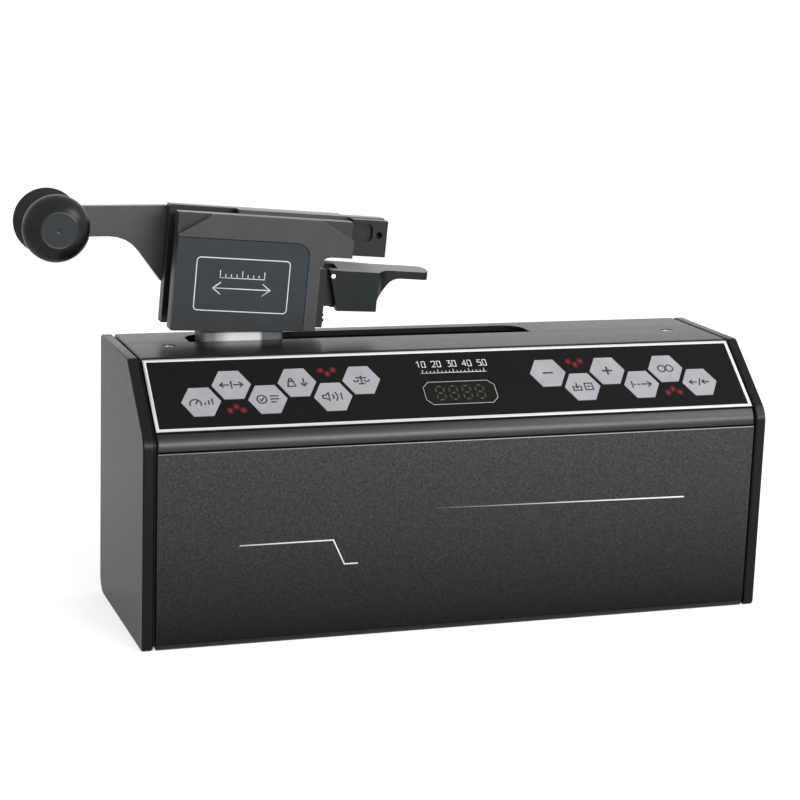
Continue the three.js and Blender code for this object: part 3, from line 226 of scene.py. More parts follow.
def anodised(name, colour, roughness, gloss, streaks=None):
    """Black anodised aluminium: even, finely matt, with a faint grain along the extrusion."""
    made = Surface(name, colour, roughness, Specular_IOR_Level=gloss)
    made.vary_colour(made.noise(55.0, 5.0, 0.6), 0.9, 1.1)
    made.vary_roughness(made.noise(130.0, 5.0, 0.6), roughness - 0.015, roughness + 0.02)
    made.bump(made.noise(3800.0, 2.0), 2e-6, 0.6)
    if streaks:
        made.bump(made.noise(1500.0, 3.0, 0.6, streaks), 4e-6, 0.6)
    return made


def metal(name, colour, roughness, stretch=EVEN):
    """Bare metal with a fine grain."""
    made = Surface(name, colour, roughness, 1.0)
    made.vary_colour(made.noise(60.0, 4.0), 0.92, 1.06)
    made.vary_roughness(made.noise(240.0, 5.0, 0.6), roughness - 0.04, roughness + 0.06)
    made.bump(made.noise(1400.0, 3.0, 0.6, stretch), 4e-6, 0.6)
    return made


def plastic(name, colour, roughness, gloss=0.3, grain=3200.0, depth=6e-6):
    """Moulded plastic or film with a fine cellular grain."""
    made = Surface(name, colour, roughness, Specular_IOR_Level=gloss)
    made.vary_colour(made.noise(70.0, 4.0), 0.92, 1.08)
    made.vary_roughness(made.noise(300.0, 4.0), roughness - 0.03, roughness + 0.04)
    made.bump(made.cells(grain), depth, 0.6)
    return made


def printed(name, colour, roughness=0.5, gloss=0.5):
    made = Surface(name, colour, roughness, Specular_IOR_Level=gloss)
    made.vary_colour(made.noise(900.0, 3.0), 0.93, 1.05)
    made.bump(made.noise(4200.0, 2.0), 1e-5, 0.4)
    return made


def fading_print(name, colour, faint, start, end):
    """A stripe that grows out of its dark ground along X, from start to end in metres."""
    made = Surface(name, colour, 0.5)
    along = made.reach(made.position(), "X", start, end)
    inputs = {0: made.noise(1500.0, 2.0), 1: 0.25, 2: along}
    uneven = made.node("ShaderNodeMath", inputs, operation="MULTIPLY_ADD").outputs[0]
    made.feed("Base Color", made.ramp(uneven, [(0.08, faint), (0.95, colour)]))
    return made


def textured_panel():
    """Grained charcoal sheet, with painted shade that darkens it towards its foot."""
    made = Surface("textured_panel", (0.039, 0.0395, 0.0415), 0.62, Specular_IOR_Level=0.12)
    # Painted shade: the tone falls towards the foot of the panel
    rise = made.reach(made.position(), "Z", 0.004, 0.118)
    painted_shade_greys = [(0.0, 0.1), (0.14, 0.3), (0.55, 0.72), (1.0, 1.0)]
    depth = made.ramp(rise, [(position, (grey, grey, grey)) for position, grey in painted_shade_greys])
    grain = made.noise(900.0, 5.0, 0.68)
    speckle = made.ramp(grain, made.tints([(0.34, 0.5), (0.52, 1.0), (0.7, 1.75)]))
    made.feed("Base Color", made.mix(1.0, speckle, depth, "MULTIPLY"))
    made.vary_roughness(made.noise(240.0, 3.0), 0.54, 0.72)
    made.bump(grain, 1e-4, 0.5)
    made.bump(made.noise(2600.0, 2.0), 3e-5, 0.5)
    return made


def spool_surface(centre):
    """Turned and anodised, with faint rings from the lathe, and a painted sheen on its front face.
    """
    made = Surface("spool_anodised", (0.0045, 0.0052, 0.0058), 0.28, Specular_IOR_Level=0.25)
    made.vary_colour(made.rings(centre, 900.0), 0.88, 1.12)
    # Painted sheen: a paler tone on the faces that look to the front
    made.painted_sheen_facing((0.0165, 0.021, 0.0235), "Y", -0.95, -0.99)
    made.vary_roughness(made.rings(centre, 2600.0), 0.25, 0.3)
    made.bump(made.noise(3600.0, 2.0), 2e-6, 0.5)
    return made


def lamp_surface():
    """Red plastic that lets some light through and glows faintly."""
    made = Surface("red_lamp", (0.22, 0.006, 0.01), 0.3, Transmission_Weight=0.2)
    made.vary_colour(made.noise(1800.0, 2.0), 0.8, 1.2)
    made.set("Emission Color", (1.0, 0.03, 0.04, 1))
    made.set("Emission Strength", 0.06)
    return made


def neck_surface():
    """Bright and finely blasted in the middle, with painted shade in a grey zone at each rounded
    side.
    """
    left, bright, right = (0.17, 0.173, 0.176), (0.77, 0.775, 0.78), (0.105, 0.11, 0.116)
    made = metal("blasted_aluminium_painted_shade", bright, 0.45, (1, 1, 0.05))
    made.set("Metallic", 0.2)
    across = made.reach(made.position(), "X", -0.144, -0.092)
    # Painted shade: the grey zones at the left and right stand for the shade on the rounded ends
    painted_shade_zones = [(0.0, left), (0.13, left), (0.33, bright), (0.7, bright), (0.74, right), (1.0, right)]
    made.feed("Base Color", made.ramp(across, painted_shade_zones))
    return made


def board_surface():
    """Green lacquer over faint tracks."""
    made = plastic("board_green", (0.02, 0.09, 0.035), 0.45)
    made.bump(made.cells(300.0, "DISTANCE_TO_EDGE"), 1e-4, 0.3)
    return made


# The spool's axis and its waist, on the head's own axes
SPOOL_X, SPOOL_WAIST, SPOOL_Z = -73.9, 17.6, 58.0
SPOOL_CENTRE = IN_HEAD @ Vector((SPOOL_X, SPOOL_WAIST, SPOOL_Z))
# Painted sheen: paler tones painted on the tops of the head's parts and of the lever
PAINTED_TOP_SHEEN, PAINTED_LEVER_TOP_SHEEN = (0.22, 0.223, 0.225), (0.24, 0.243, 0.243)
surfaces = {
    "shell": anodised("shell_anodised", (0.003, 0.0031, 0.0033), 0.3, 0.36, ALONG_X),
    "plate": anodised("plate_anodised", (0.005, 0.0051, 0.005), 0.25, 0.14),
    "head": anodised(
        "head_anodised", (0.0465, 0.0475, 0.05), 0.34, 0.34, ALONG_X
    ).painted_sheen_facing(PAINTED_TOP_SHEEN),
    "head_face": anodised("face_anodised", (0.049, 0.051, 0.054), 0.4, 0.16, ALONG_X),
    "head_plate": anodised(
        "head_plate_anodised", (0.014, 0.0145, 0.016), 0.32, 0.36, ALONG_X
    ).painted_sheen_facing(PAINTED_TOP_SHEEN),
    "head_dark": anodised("jaw_anodised", (0.0155, 0.0175, 0.0195), 0.26, 0.2),
    "cover": plastic("cover_film", (0.0275, 0.031, 0.035), 0.42, 0.14, 4200.0, 3e-6),
    "panel": textured_panel(),
    "overlay": plastic("overlay_film", (0.0042, 0.0042, 0.0045), 0.5, 0.08, 5200.0, 3e-6),
    "key": plastic("key_film", (0.308, 0.314, 0.332), 0.5, 0.2, 4600.0, 3e-6),
    "window": plastic("dark_window", (0.0105, 0.0095, 0.0075), 0.14, 0.06, 900.0, 1e-6),
    "black": plastic("black_plastic", (0.016, 0.0165, 0.019), 0.42),
    "lever": plastic(
        "lever_plastic", (0.0045, 0.0065, 0.0074), 0.34, 0.2, 2600.0
    ).painted_sheen_facing(PAINTED_LEVER_TOP_SHEEN),
    "lamp": lamp_surface(),
    "steel": metal("bright_steel", (0.72, 0.72, 0.73), 0.26),
    "dark_steel": metal("black_steel", (0.05, 0.05, 0.055), 0.34),
    "ground": metal("ground_steel", (0.66, 0.66, 0.67), 0.16, ALONG_X),
    "neck": neck_surface(),
    "aluminium": metal("plain_aluminium", (0.6, 0.61, 0.62), 0.36),
    "bronze": metal("bronze", (0.5, 0.31, 0.12), 0.3),
    "board": board_surface(),
    "white_print": printed("white_print", (0.64, 0.64, 0.65)),
    "grey_print": printed("grey_print", (0.3, 0.3, 0.29)),
    "dark_print": printed("dark_print", (0.018, 0.019, 0.021)),
    "unlit": printed("unlit_segments", (0.021, 0.017, 0.014), 0.3),
    "glow": printed("lamp_glow", (0.085, 0.01, 0.014), 0.5, 0.1),
    "seam": printed("seam_painted_shade", (0.0015, 0.0015, 0.0015), 0.7, 0.04),
    "sealant": plastic("sealant", (0.55, 0.54, 0.5), 0.4, 0.4, 1200.0, 5e-5),
    "spool": spool_surface(SPOOL_CENTRE),
}


# Mesh helpers

WELD_DISTANCE, DOUBLES_DISTANCE = 2e-6, 1e-7
EDGE_SEGMENTS, EDGE_ANGLE = 2, math.radians(32.0)
# Keeps the mitre of a sharp corner short
LEAST_MITRE = 0.35


def clean_shading(obj, edge):
    """Smooth shading with edges rounded by so many millimetres, all as modifiers."""
    mesh = obj.data
    spare = mesh.attributes.get("custom_normal")
    if spare is not None:
        mesh.attributes.remove(spare)
    for polygon in mesh.polygons:
        polygon.use_smooth = True
    weld = obj.modifiers.new("weld", "WELD")
    weld.merge_threshold = WELD_DISTANCE
    if edge:
        rounding = obj.modifiers.new("rounding", "BEVEL")
        rounding.width = edge * MM
        rounding.segments = EDGE_SEGMENTS
        rounding.limit_method = "ANGLE"
        rounding.angle_limit = EDGE_ANGLE
        rounding.harden_normals = True
        rounding.use_clamp_overlap = True


def paint(obj, key):
    obj.data.materials.clear()
    obj.data.materials.append(surfaces[key].material)


def make(name, mesh_data, body, key, edge=0.0):
    """A new piece from a bmesh, on its body, with its material."""
    mesh = bpy.data.meshes.new(name)
    bmesh.ops.remove_doubles(mesh_data, verts=mesh_data.verts, dist=DOUBLES_DISTANCE)
    bmesh.ops.recalc_face_normals(mesh_data, faces=mesh_data.faces)
    mesh_data.to_mesh(mesh)
    mesh_data.free()
    obj = bpy.data.objects.new(name, mesh)
    bpy.context.scene.collection.objects.link(obj)
    clean_shading(obj, edge)
    paint(obj, key)
    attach(obj, body)
    return obj


def add_wall(target, lower, upper):
    """The faces between two closed rings of as many points."""
    for i in range(len(lower)):
        j = (i + 1) % len(lower)
        target.faces.new((lower[i], lower[j], upper[j], upper[i]))


def add_prism(target, outline, matrix, low, high):
    """A closed prism over an outline of (x, y) points, from height low to height high."""
    bottom = [target.verts.new(matrix @ Vector((x, y, low))) for x, y in outline]
    top = [target.verts.new(matrix @ Vector((x, y, high))) for x, y in outline]
    target.faces.new(list(reversed(bottom)))
    target.faces.new(top)
    add_wall(target, bottom, top)


def add_band(target, points, width, matrix, low, high, closed=False):
    """A line of one width along points, with mitred corners."""
    count = len(points)
    rows = []
    for i, point in enumerate(points):
        here = Vector(point)
        before = Vector(points[i - 1]) if closed or i else None
        after = Vector(points[(i + 1) % count]) if closed or i + 1 < count else None
        into = (here - before).normalized() if before is not None else (after - here).normalized()
        out = (after - here).normalized() if after is not None else into
        across_in = Vector((-into.y, into.x))
        across_out = Vector((-out.y, out.x))
        mitre = (across_in + across_out).normalized()
        reach = width / 2 / max(mitre.dot(across_in), LEAST_MITRE)
        left, right = here + mitre * reach, here - mitre * reach
        rows.append([
            target.verts.new(matrix @ Vector((side.x, side.y, height)))
            for side, height in ((left, low), (right, low), (right, high), (left, high))
        ])
    for i in range(count if closed else count - 1):
        add_wall(target, rows[i], rows[(i + 1) % count])
    if not closed:
        target.faces.new(rows[0])
        target.faces.new(list(reversed(rows[-1])))


def arc(cx, cy, radius, start, end, steps):
    """Points on an arc, its angles in degrees."""
    return [
        (
            cx + radius * math.cos(math.radians(start + (end - start) * i / steps)),
            cy + radius * math.sin(math.radians(start + (end - start) * i / steps)),
        )
        for i in range(steps + 1)
    ]


def circle(cx, cy, radius, steps):
    return arc(cx, cy, radius, 0, 360, steps)[:-1]


def rounded_box(left, right, low, high, radius, steps=5):
    corners = [(right, high, 0), (left, high, 90), (left, low, 180), (right, low, 270)]
    points = []
    for x, y, start in corners:
        cx = x - radius if x == right else x + radius
        cy = y - radius if y == high else y + radius
        points += arc(cx, cy, radius, start, start + 90, steps)
    return points


def add_ring(target, matrix, radius, z, steps, hexagonal=False):
    """Points round the matrix's Z at height z, on a circle or on a hexagon of that radius."""
    ring = []
    for i in range(steps):
        angle = 2 * math.pi * i / steps
        r = radius
        if hexagonal:
            from_flat = (angle + math.pi / 6) % (math.pi / 3) - math.pi / 6
            r = radius * math.cos(math.pi / 6) / math.cos(from_flat)
        place = Vector((r * math.cos(angle), r * math.sin(angle), z))
        ring.append(target.verts.new(matrix @ place))
    return ring


def add_lathe(target, profile, matrix, steps):
    """A turned solid about the matrix's Z, its profile of (radius, z) from axis to axis."""
    rings = []
    for radius, z in profile:
        if radius:
            rings.append(add_ring(target, matrix, radius, z, steps))
        else:
            rings.append([target.verts.new(matrix @ Vector((0, 0, z)))])
    for lower, upper in zip(rings, rings[1:]):
        if len(lower) == len(upper):
            add_wall(target, lower, upper)
            continue
        for i in range(steps):
            j = (i + 1) % steps
            if len(lower) == 1:
                target.faces.new((lower[0], upper[i], upper[j]))
            else:
                target.faces.new((lower[j], lower[i], upper[0]))


def add_socket_head(target, matrix, x, y, radius, height, steps=24):
    """A screw head: a rounded rim, a hexagonal socket and its floor, about the matrix's Z."""
    local = matrix @ Matrix.Translation((x, y, 0))
    edge = 0.14 * radius
    socket_radius, socket_floor = 0.52 * radius, 0.45 * height
    rim = [
        (radius, 0.0), (radius, height - edge), (radius - 0.3 * edge, height - 0.3 * edge),
        (radius - edge, height),
    ]
    rings = [add_ring(target, local, r, z, steps) for r, z in rim]
    for z in (height, socket_floor):
        rings.append(add_ring(target, local, socket_radius, z, steps, hexagonal=True))
    for lower, upper in zip(rings, rings[1:]):
        add_wall(target, lower, upper)
    target.faces.new(list(reversed(rings[0])))
    target.faces.new(rings[-1])


# Materials and rounded edges of the solids that stay

KEYS = [
    "key_speed", "key_constant_pull", "key_self_test", "key_kilograms", "key_sound", "key_pounds",
    "key_minus", "key_store", "key_plus", "key_pre_stretch", "key_knot", "key_pull_release",
]
# For each surface, the nodes that get it and how wide their edges are rounded
LOOKS = {
    "shell": (["front_shell", "rear_shell"], 0.35),
    "plate": (["left_end_plate", "right_end_plate"], 0.3),
    "panel": (["front_panel"], 0.25),
    "overlay": (["control_overlay"], 0.1),
    "window": (["display_window"], 0.15),
    "black": (["display_module", "power_inlet", "switch_frame", "power_rocker"], 0.35),
    "lamp": (["indicator_lamps_%d" % i for i in range(1, 5)], 0.12),
    "board": (["control_board"], 0.15),
    "aluminium": (
        ["power_supply", "shaft_block_left", "shaft_block_right", "motor_plate", "shaft_coupling",
         "carriage_block", "load_cell"], 0.4,
    ),
    "ground": (["guide_shaft_front", "guide_shaft_rear", "motor_shaft"], 0.3),
    "steel": (
        ["screw_bearing", "pivot_pin", "lever_pin", "motor", "top_screw_left", "top_screw_right"],
        0.25,
    ),
    "dark_steel": (["release_plunger"], 0.3),
    "neck": (["neck_post"], 0.4),
    "bronze": (["lead_nut"], 0.4),
    "key": (KEYS, 0.14),
    "head": (["spool_arm", "rear_jaw"], 0.35),
    "head_plate": (["front_plate", "rear_plate", "spacer_block"], 0.5),
    "head_face": (["face_frame"], 0.25),
    "cover": (["face_cover"], 0.2),
    "head_dark": (["front_jaw", "lever_bracket"], 0.3),
    "lever": (["lever"], 0.8),
}
for look, (names, edge) in LOOKS.items():
    for node in names:
        clean_shading(nodes[node], edge)
        paint(nodes[node], look)


# Prints: a line is its points, its width and whether it is closed

THIN, BOLD = 0.95, 1.3


def line(*points, width=THIN):
    return points, width, False


def loop(points, width=THIN):
    return points, width, True


def moved_lines(lines, x, y):
    return [
        ([(px + x, py + y) for px, py in points], width, closed)
        for points, width, closed in lines
    ]


def print_on(matrix, lines=(), outlines=(), height=0.0):
    """Lines and filled outlines on a face, or that high above it."""
    made = bmesh.new()
    low, high = height - PRINT_SINK, height + PRINT
    for outline in outlines:
        add_prism(made, outline, matrix, low, high)
    for points, width, closed in lines:
        add_band(made, points, width, matrix, low, high, closed)
    return made


def on_slope(node):
    """The middle of a node, in millimetres on the slope."""
    low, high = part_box(node)
    middle = ON_SLOPE.inverted() @ ((low + high) / 2)
    return middle.x, middle.y


# Prints on the control face

border_left, border_right, border_top, border_foot, border_width = 9.45, 390.55, -2.5, -53.6, 2.0
border = [
    (border_left, border_top), (border_right, border_top),
    (border_right, border_foot), (border_left, border_foot),
]
made = print_on(ON_SLOPE, [loop(border, border_width)])
make("overlay_border", made, "housing", "white_print")

# Two units wide and four high, about their middle
DIGITS = {
    "0": [(-1, -2), (1, -2), (1, 2), (-1, 2)],
    "1": [(-0.8, 1.2), (0.2, 2), (0.2, -2)],
    "2": [(-1, 1.2), (-1, 2), (1, 2), (1, 0.1), (-1, -2), (1.1, -2)],
    "3": [(-1, 2), (1, 2), (-0.1, 0.3), (1, 0.1), (1, -2), (-1, -2)],
    "4": [(0.6, -2), (0.6, 2), (-1.1, -0.7), (1.2, -0.7)],
    "5": [(1, 2), (-0.9, 2), (-1, 0.3), (1, 0.3), (1, -2), (-1, -2)],
}
DIGIT_STEP = 3.1


def number_lines(text, x, y, size, width):
    lines = []
    step = DIGIT_STEP * size
    start = x - step * (len(text) - 1) / 2
    for i, digit in enumerate(text):
        moved = [(start + i * step + px * size, y + py * size) for px, py in DIGITS[digit]]
        lines.append((moved, width, digit == "0"))
    return lines


def number_scale():
    """A ruled line with a long tick under each number and short ones between."""
    numbers, per_number = ("10", "20", "30", "40", "50"), 4
    first_x, step, short_tick, long_tick = 179.5, 2.5, 1.2, 2.4
    base_left, base_right, base_y, tick_y, number_y = 178.0, 221.0, -19.0, -18.6, -12.2
    base_width, tick_width, number_width, number_size = 0.45, 0.4, 0.5, 1.1
    lines = [line((base_left, base_y), (base_right, base_y), width=base_width)]
    for i in range(per_number * (len(numbers) - 1) + 1):
        x = first_x + i * step
        top = tick_y + (short_tick if i % per_number else long_tick)
        lines.append(line((x, tick_y), (x, top), width=tick_width))
    for i, number in enumerate(numbers):
        x = first_x + i * per_number * step
        lines += number_lines(number, x, number_y, number_size, number_width)
    return lines


make("number_scale", print_on(ON_SLOPE, number_scale()), "housing", "white_print")

DISPLAY_X, DISPLAY_Y = 200.0, -34.5
DISPLAY = [
    (180.25, -43.6), (219.75, -43.6), (223.75, -39.6), (223.75, -29.4),
    (219.75, -25.4), (180.25, -25.4), (176.25, -29.4), (176.25, -39.6),
]
inset = [
    ((x - DISPLAY_X) * 0.975 + DISPLAY_X, (y - DISPLAY_Y) * 0.94 + DISPLAY_Y) for x, y in DISPLAY
]
made = print_on(ON_SLOPE, [loop(inset, 0.5)])
make("window_outline", made, "housing", "grey_print")


def segment_digit(x, y, width, height):
    """The seven unlit bars of one digit, each a small hexagon."""
    bars = []
    half_w, half_h, thick, trim = width / 2, height / 2, 0.55, 0.75

    def level(cy):
        bars.append([
            (x - half_w + trim, cy), (x - half_w + trim + thick, cy + thick),
            (x + half_w - trim - thick, cy + thick), (x + half_w - trim, cy),
            (x + half_w - trim - thick, cy - thick), (x - half_w + trim + thick, cy - thick),
        ])

    def upright(cx, low):
        high = low + half_h
        bars.append([
            (cx, low + trim), (cx + thick, low + trim + thick), (cx + thick, high - trim - thick),
            (cx, high - trim), (cx - thick, high - trim - thick), (cx - thick, low + trim + thick),
        ])

    for cy in (y - half_h, y, y + half_h):
        level(cy)
    for cx in (x - half_w, x + half_w):
        for low in (y - half_h, y):
            upright(cx, low)
    return bars


DIGIT_WIDTH, DIGIT_HEIGHT = 5.0, 10.0
unlit = []
for digit_x in (187.0, 195.6, 204.2, 212.8):
    unlit += segment_digit(digit_x, DISPLAY_Y, DIGIT_WIDTH, DIGIT_HEIGHT)
make("unlit_digits", print_on(ON_SLOPE, outlines=unlit), "housing", "unlit")


# A soft red ring in the film round each of a bar's three lamps

LAMP_STEP, LAMP_TIP, LAMP_RING = 4.0, 1.35, 1.75
rings = []
for number, tip in ((1, LAMP_TIP), (2, -LAMP_TIP), (3, -LAMP_TIP), (4, LAMP_TIP)):
    middle_x, middle_y = on_slope("indicator_lamps_%d" % number)
    for x, y in ((-LAMP_STEP, -tip), (0.0, tip), (LAMP_STEP, -tip)):
        rings.append(loop(circle(middle_x + x, middle_y + y, LAMP_RING, 20)))
make("lamp_rings", print_on(ON_SLOPE, rings), "housing", "glow")


# Key marks: plain pictograms about 14 mm wide, centred on each key

# How far the keys stand above the slope
KEY_RISE = 0.2
MARKS = {
    "key_speed": [
        line(*arc(-3.6, -1.6, 3.4, 200, -20, 14)), line((-3.6, -1.6), (-1.9, 1.0)),
        line((2.2, -2.4), (2.2, -0.6)), line((4.4, -2.4), (4.4, 0.8)),
        line((6.6, -2.4), (6.6, 2.4)),
    ],
    "key_constant_pull": [
        line((-6.8, 0), (-1.2, 0)), line((-4.8, 1.9), (-6.9, 0), (-4.8, -1.9)),
        line((1.2, 0), (6.8, 0)), line((4.8, 1.9), (6.9, 0), (4.8, -1.9)),
        line((0, -2.8), (0, 2.8)),
    ],
    "key_self_test": [
        loop(circle(-3.7, 0, 2.9, 20)), line((-5.0, 0.1), (-4.0, -1.1), (-2.3, 1.3)),
        line((1.6, 2.2), (6.8, 2.2)), line((1.6, 0), (6.8, 0)), line((1.6, -2.2), (5.0, -2.2)),
    ],
    "key_kilograms": [
        loop([(-6.0, -2.8), (-5.2, 1.0), (-2.2, 1.0), (-1.4, -2.8)]),
        loop(circle(-3.7, 2.0, 1.0, 14)),
        line((4.2, 2.8), (4.2, -2.6)), line((2.2, -0.6), (4.2, -2.8), (6.2, -0.6)),
    ],
    "key_sound": [
        loop([(-6.4, -1.1), (-4.8, -1.1), (-2.6, -2.8), (-2.6, 2.8), (-4.8, 1.1), (-6.4, 1.1)]),
        line(*arc(-1.9, 0, 2.2, -50, 50, 8)), line(*arc(-1.9, 0, 4.6, -45, 45, 10)),
        line((5.2, -2.6), (5.2, 2.6)),
    ],
    "key_pounds": [
        line((-3.4, 1.6), (3.4, 1.6)), line((0, 3.2), (0, -2.8)), line((-2.2, -2.9), (2.2, -2.9)),
        line(*arc(-3.4, 0.2, 1.5, 180, 360, 8)), line(*arc(3.4, 0.2, 1.5, 180, 360, 8)),
    ],
    "key_minus": [line((-3.4, 0), (3.4, 0), width=BOLD)],
    "key_store": [
        line((-6.4, 0.8), (-6.4, -2.8), (-1.2, -2.8), (-1.2, 0.8)),
        line((-3.8, 3.0), (-3.8, -0.9)), line((-5.2, 0.6), (-3.8, -1.0), (-2.4, 0.6)),
        loop([(1.6, 2.4), (6.6, 2.4), (6.6, -2.6), (1.6, -2.6)]), line((2.9, 0), (5.3, 0)),
    ],
    "key_plus": [line((-3.4, 0), (3.4, 0), width=BOLD), line((0, -3.2), (0, 3.2), width=BOLD)],
    "key_pre_stretch": [
        line((-6.4, 2.6), (-6.4, -2.6)), line((-5.4, 0), (-3.6, 0)), line((-2.8, 0), (-1.0, 0)),
        line((-0.2, 0), (6.4, 0)), line((4.2, 2.1), (6.6, 0), (4.2, -2.1)),
    ],
    "key_knot": [
        line(*arc(-2.6, 0, 2.5, 40, 320, 16)), line(*arc(2.6, 0, 2.5, -140, 140, 16)),
        line((-0.7, 1.6), (0.7, -1.6)), line((-0.7, -1.6), (0.7, 1.6)),
    ],
    "key_pull_release": [
        line((-6.8, 0), (-1.8, 0)), line((-5.0, 1.7), (-6.9, 0), (-5.0, -1.7)),
        line((-0.9, -2.8), (0.9, 2.8)),
        line((1.8, 0), (6.8, 0)), line((3.7, 1.7), (1.8, 0), (3.7, -1.7)),
    ],
}
for key, lines in MARKS.items():
    made = print_on(ON_SLOPE, moved_lines(lines, *on_slope(key)), height=KEY_RISE)
    make(key.replace("key_", "mark_"), made, key + "_cap", "dark_print")


# The seam's painted shade and a painted highlight along the panel's top edge, under the shoulder

SEAM_END = 8.8
for name, seam_z, width, look, slot in (
    # Painted shade: a near black line in the gap along the seam
    ("panel_seam", 119.5, 0.95, "seam", "black_anodised"),
    # Painted highlight: a pale line along the panel's top edge
    ("panel_edge_highlight", 118.4, 0.55, "grey_print", "textured_panel"),
):
    seam = line((SEAM_END, seam_z), (LENGTH - SEAM_END, seam_z), width=width)
    make(name, print_on(ON_FRONT, [seam]), "housing", look)


# Stripes on the front panel: a step, and a line that fades in and grows wider

step_line = line((57.7, 61.3), (115.2, 61.3), (122.4, 46.0), (131.0, 46.0), width=0.8)
made = print_on(ON_FRONT, [step_line])
make("panel_stripe_left", made, "housing", "white_print")

fade_left, fade_right = 179.5, 345.4
left_z, right_z, left_half, right_half = 77.2, 75.2, 0.25, 0.45
fade_start, fade_end = ((x - LENGTH / 2) * MM for x in (fade_left, fade_right))
surfaces["fading"] = fading_print(
    "fading_print", (0.75, 0.75, 0.75), (0.06, 0.06, 0.06), fade_start, fade_end
)
fade_outline = [
    (fade_left, left_z - left_half), (fade_right, right_z - right_half),
    (fade_right, right_z + right_half), (fade_left, left_z + left_half),
]
made = print_on(ON_FRONT, outlines=[fade_outline])
make("panel_stripe_right", made, "housing", "fading")


# The label on the head's cover: a rounded frame round a plain pull arrow and its ticks

LABEL_LINE, TICK_LINE, TICK_Z = 0.62, 0.5, 34.0
label = loop(rounded_box(12.6, 71.4, 13.5, 46.0, 2.4), LABEL_LINE)
make("label_frame", print_on(ON_HEAD, [label]), "head", "white_print")
arrow = [
    line((24.0, 27.5), (59.5, 27.5), width=LABEL_LINE),
    line((28.6, 31.2), (23.6, 27.5), (28.6, 23.8), width=LABEL_LINE),
    line((54.9, 31.2), (59.9, 27.5), (54.9, 23.8), width=LABEL_LINE),
]
for i in range(9):
    tick_x, tick_top = 27.75 + i * 3.5, 36.4 if i % 4 else 38.6
    arrow.append(line((tick_x, TICK_Z), (tick_x, tick_top), width=TICK_LINE))
arrow.append(line((27.4, TICK_Z), (56.1, TICK_Z), width=TICK_LINE))
make("label_arrow", print_on(ON_HEAD, arrow), "head", "white_print")


# The spool, turned smooth, with a fine step round its front flat


def spool_profile():
    """Radius and distance towards the front, from the bore in the back to the nose."""
    radius, edge_radius, waist_radius, flat_radius = 20.14, 19.9, 6.5, 10.5
    bore_radius, bore_depth, back, back_rim = 3.3, 20.0, -36.2, -35.2
    corner, corner_radius, corner_steps, crown_steps = 18.7, 1.5, 4, 24
    points = [(0, back + bore_depth), (bore_radius, back + bore_depth), (bore_radius, back)]
    for i in range(corner_steps):
        angle = math.radians(90 * i / corner_steps)
        out, fall = corner_radius * math.sin(angle), corner_radius * math.cos(angle)
        points.append((corner + out, back + corner_radius - fall))
    points += [
        (radius, back + corner_radius), (radius, back_rim + 1.2), (edge_radius, back_rim + 1.6),
        (waist_radius + 0.4, -SPOOL_WAIST - 1.7), (waist_radius, -SPOOL_WAIST - 1.0),
        (waist_radius, -SPOOL_WAIST + 1.0), (waist_radius + 0.4, -SPOOL_WAIST + 1.7),
        (edge_radius, -1.6), (radius, -1.1), (radius, -0.4),
    ]
    flat_angle = math.asin(flat_radius / radius)
    crown = flat_radius / math.cos(flat_angle)
    for i in range(crown_steps + 1):
        angle = math.pi / 2 - (math.pi / 2 - flat_angle) * i / crown_steps
        points.append((radius * math.sin(angle), crown * math.cos(angle)))
    points += [
        (10.3, 10.46), (10.1, 10.4), (9.6, 10.4), (1.9, 10.4),
        (1.4, 10.4), (1.1, 10.2), (0.7, 10.2), (0, 10.2),
    ]
    return points


spool_turn = facing(IN_HEAD, (SPOOL_X, 0, SPOOL_Z), RIGHT, UP)
turned = bmesh.new()
add_lathe(turned, spool_profile(), spool_turn, 96)
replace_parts(make("spool_turned", turned, "head", "spool"), "spool")

# Radius and distance towards the back: the shank and its washer, and then the hexagon
BOLT_PROFILE = [
    (0, 16.6), (2.9, 16.6), (2.9, 43.3), (6.4, 43.35), (6.4, 44.2), (6.1, 44.5), (0, 44.5),
]
HEX_RADIUS, HEX_LOW, HEX_HIGH = 4.9, 44.5, 47.2
bolt_turn = facing(IN_HEAD, (SPOOL_X, 0, SPOOL_Z), LEFT, UP)
turned = bmesh.new()
add_lathe(turned, BOLT_PROFILE, bolt_turn, 40)
add_prism(turned, circle(0, 0, HEX_RADIUS, 6), bolt_turn, HEX_LOW, HEX_HIGH)
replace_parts(make("spool_bolt_hex", turned, "head", "steel", 0.3), "spool_bolt")


# The lead screw: four thread starts of 10 mm lead between two plain journals

THREAD_RADIUS, THREAD_DEPTH, THREAD_LEAD, THREAD_STARTS = 4.98, 0.75, 10.0, 4
JOURNAL_RADIUS, JOURNAL_TIP, CHAMFER = 4.9, 4.3, 0.6


def add_thread(target, left, right, matrix):
    """The thread from left to right along the matrix's X, its ends inside the journals."""
    per_turn = 28
    steps = int((right - left + THREAD_LEAD) / THREAD_LEAD * per_turn)
    flank = [(0.0, -THREAD_DEPTH), (0.2, -THREAD_DEPTH), (0.34, 0.0), (0.86, 0.0)]
    profile = [
        ((start + share) / THREAD_STARTS, drop)
        for start in range(THREAD_STARTS) for share, drop in flank
    ]
    profile.append((1.0, -THREAD_DEPTH))
    rows = []
    for i in range(steps + 1):
        angle = 2 * math.pi * i / per_turn
        row = []
        for share, drop in profile:
            along = left + THREAD_LEAD * (i / per_turn - 1 + share)
            along = min(max(along, left), right)
            r = THREAD_RADIUS + drop
            place = Vector((along, r * math.cos(angle), r * math.sin(angle)))
            row.append(target.verts.new(matrix @ place))
        rows.append(row)
    for a, b in zip(rows, rows[1:]):
        for k in range(len(profile) - 1):
            target.faces.new((a[k], a[k + 1], b[k + 1], b[k]))


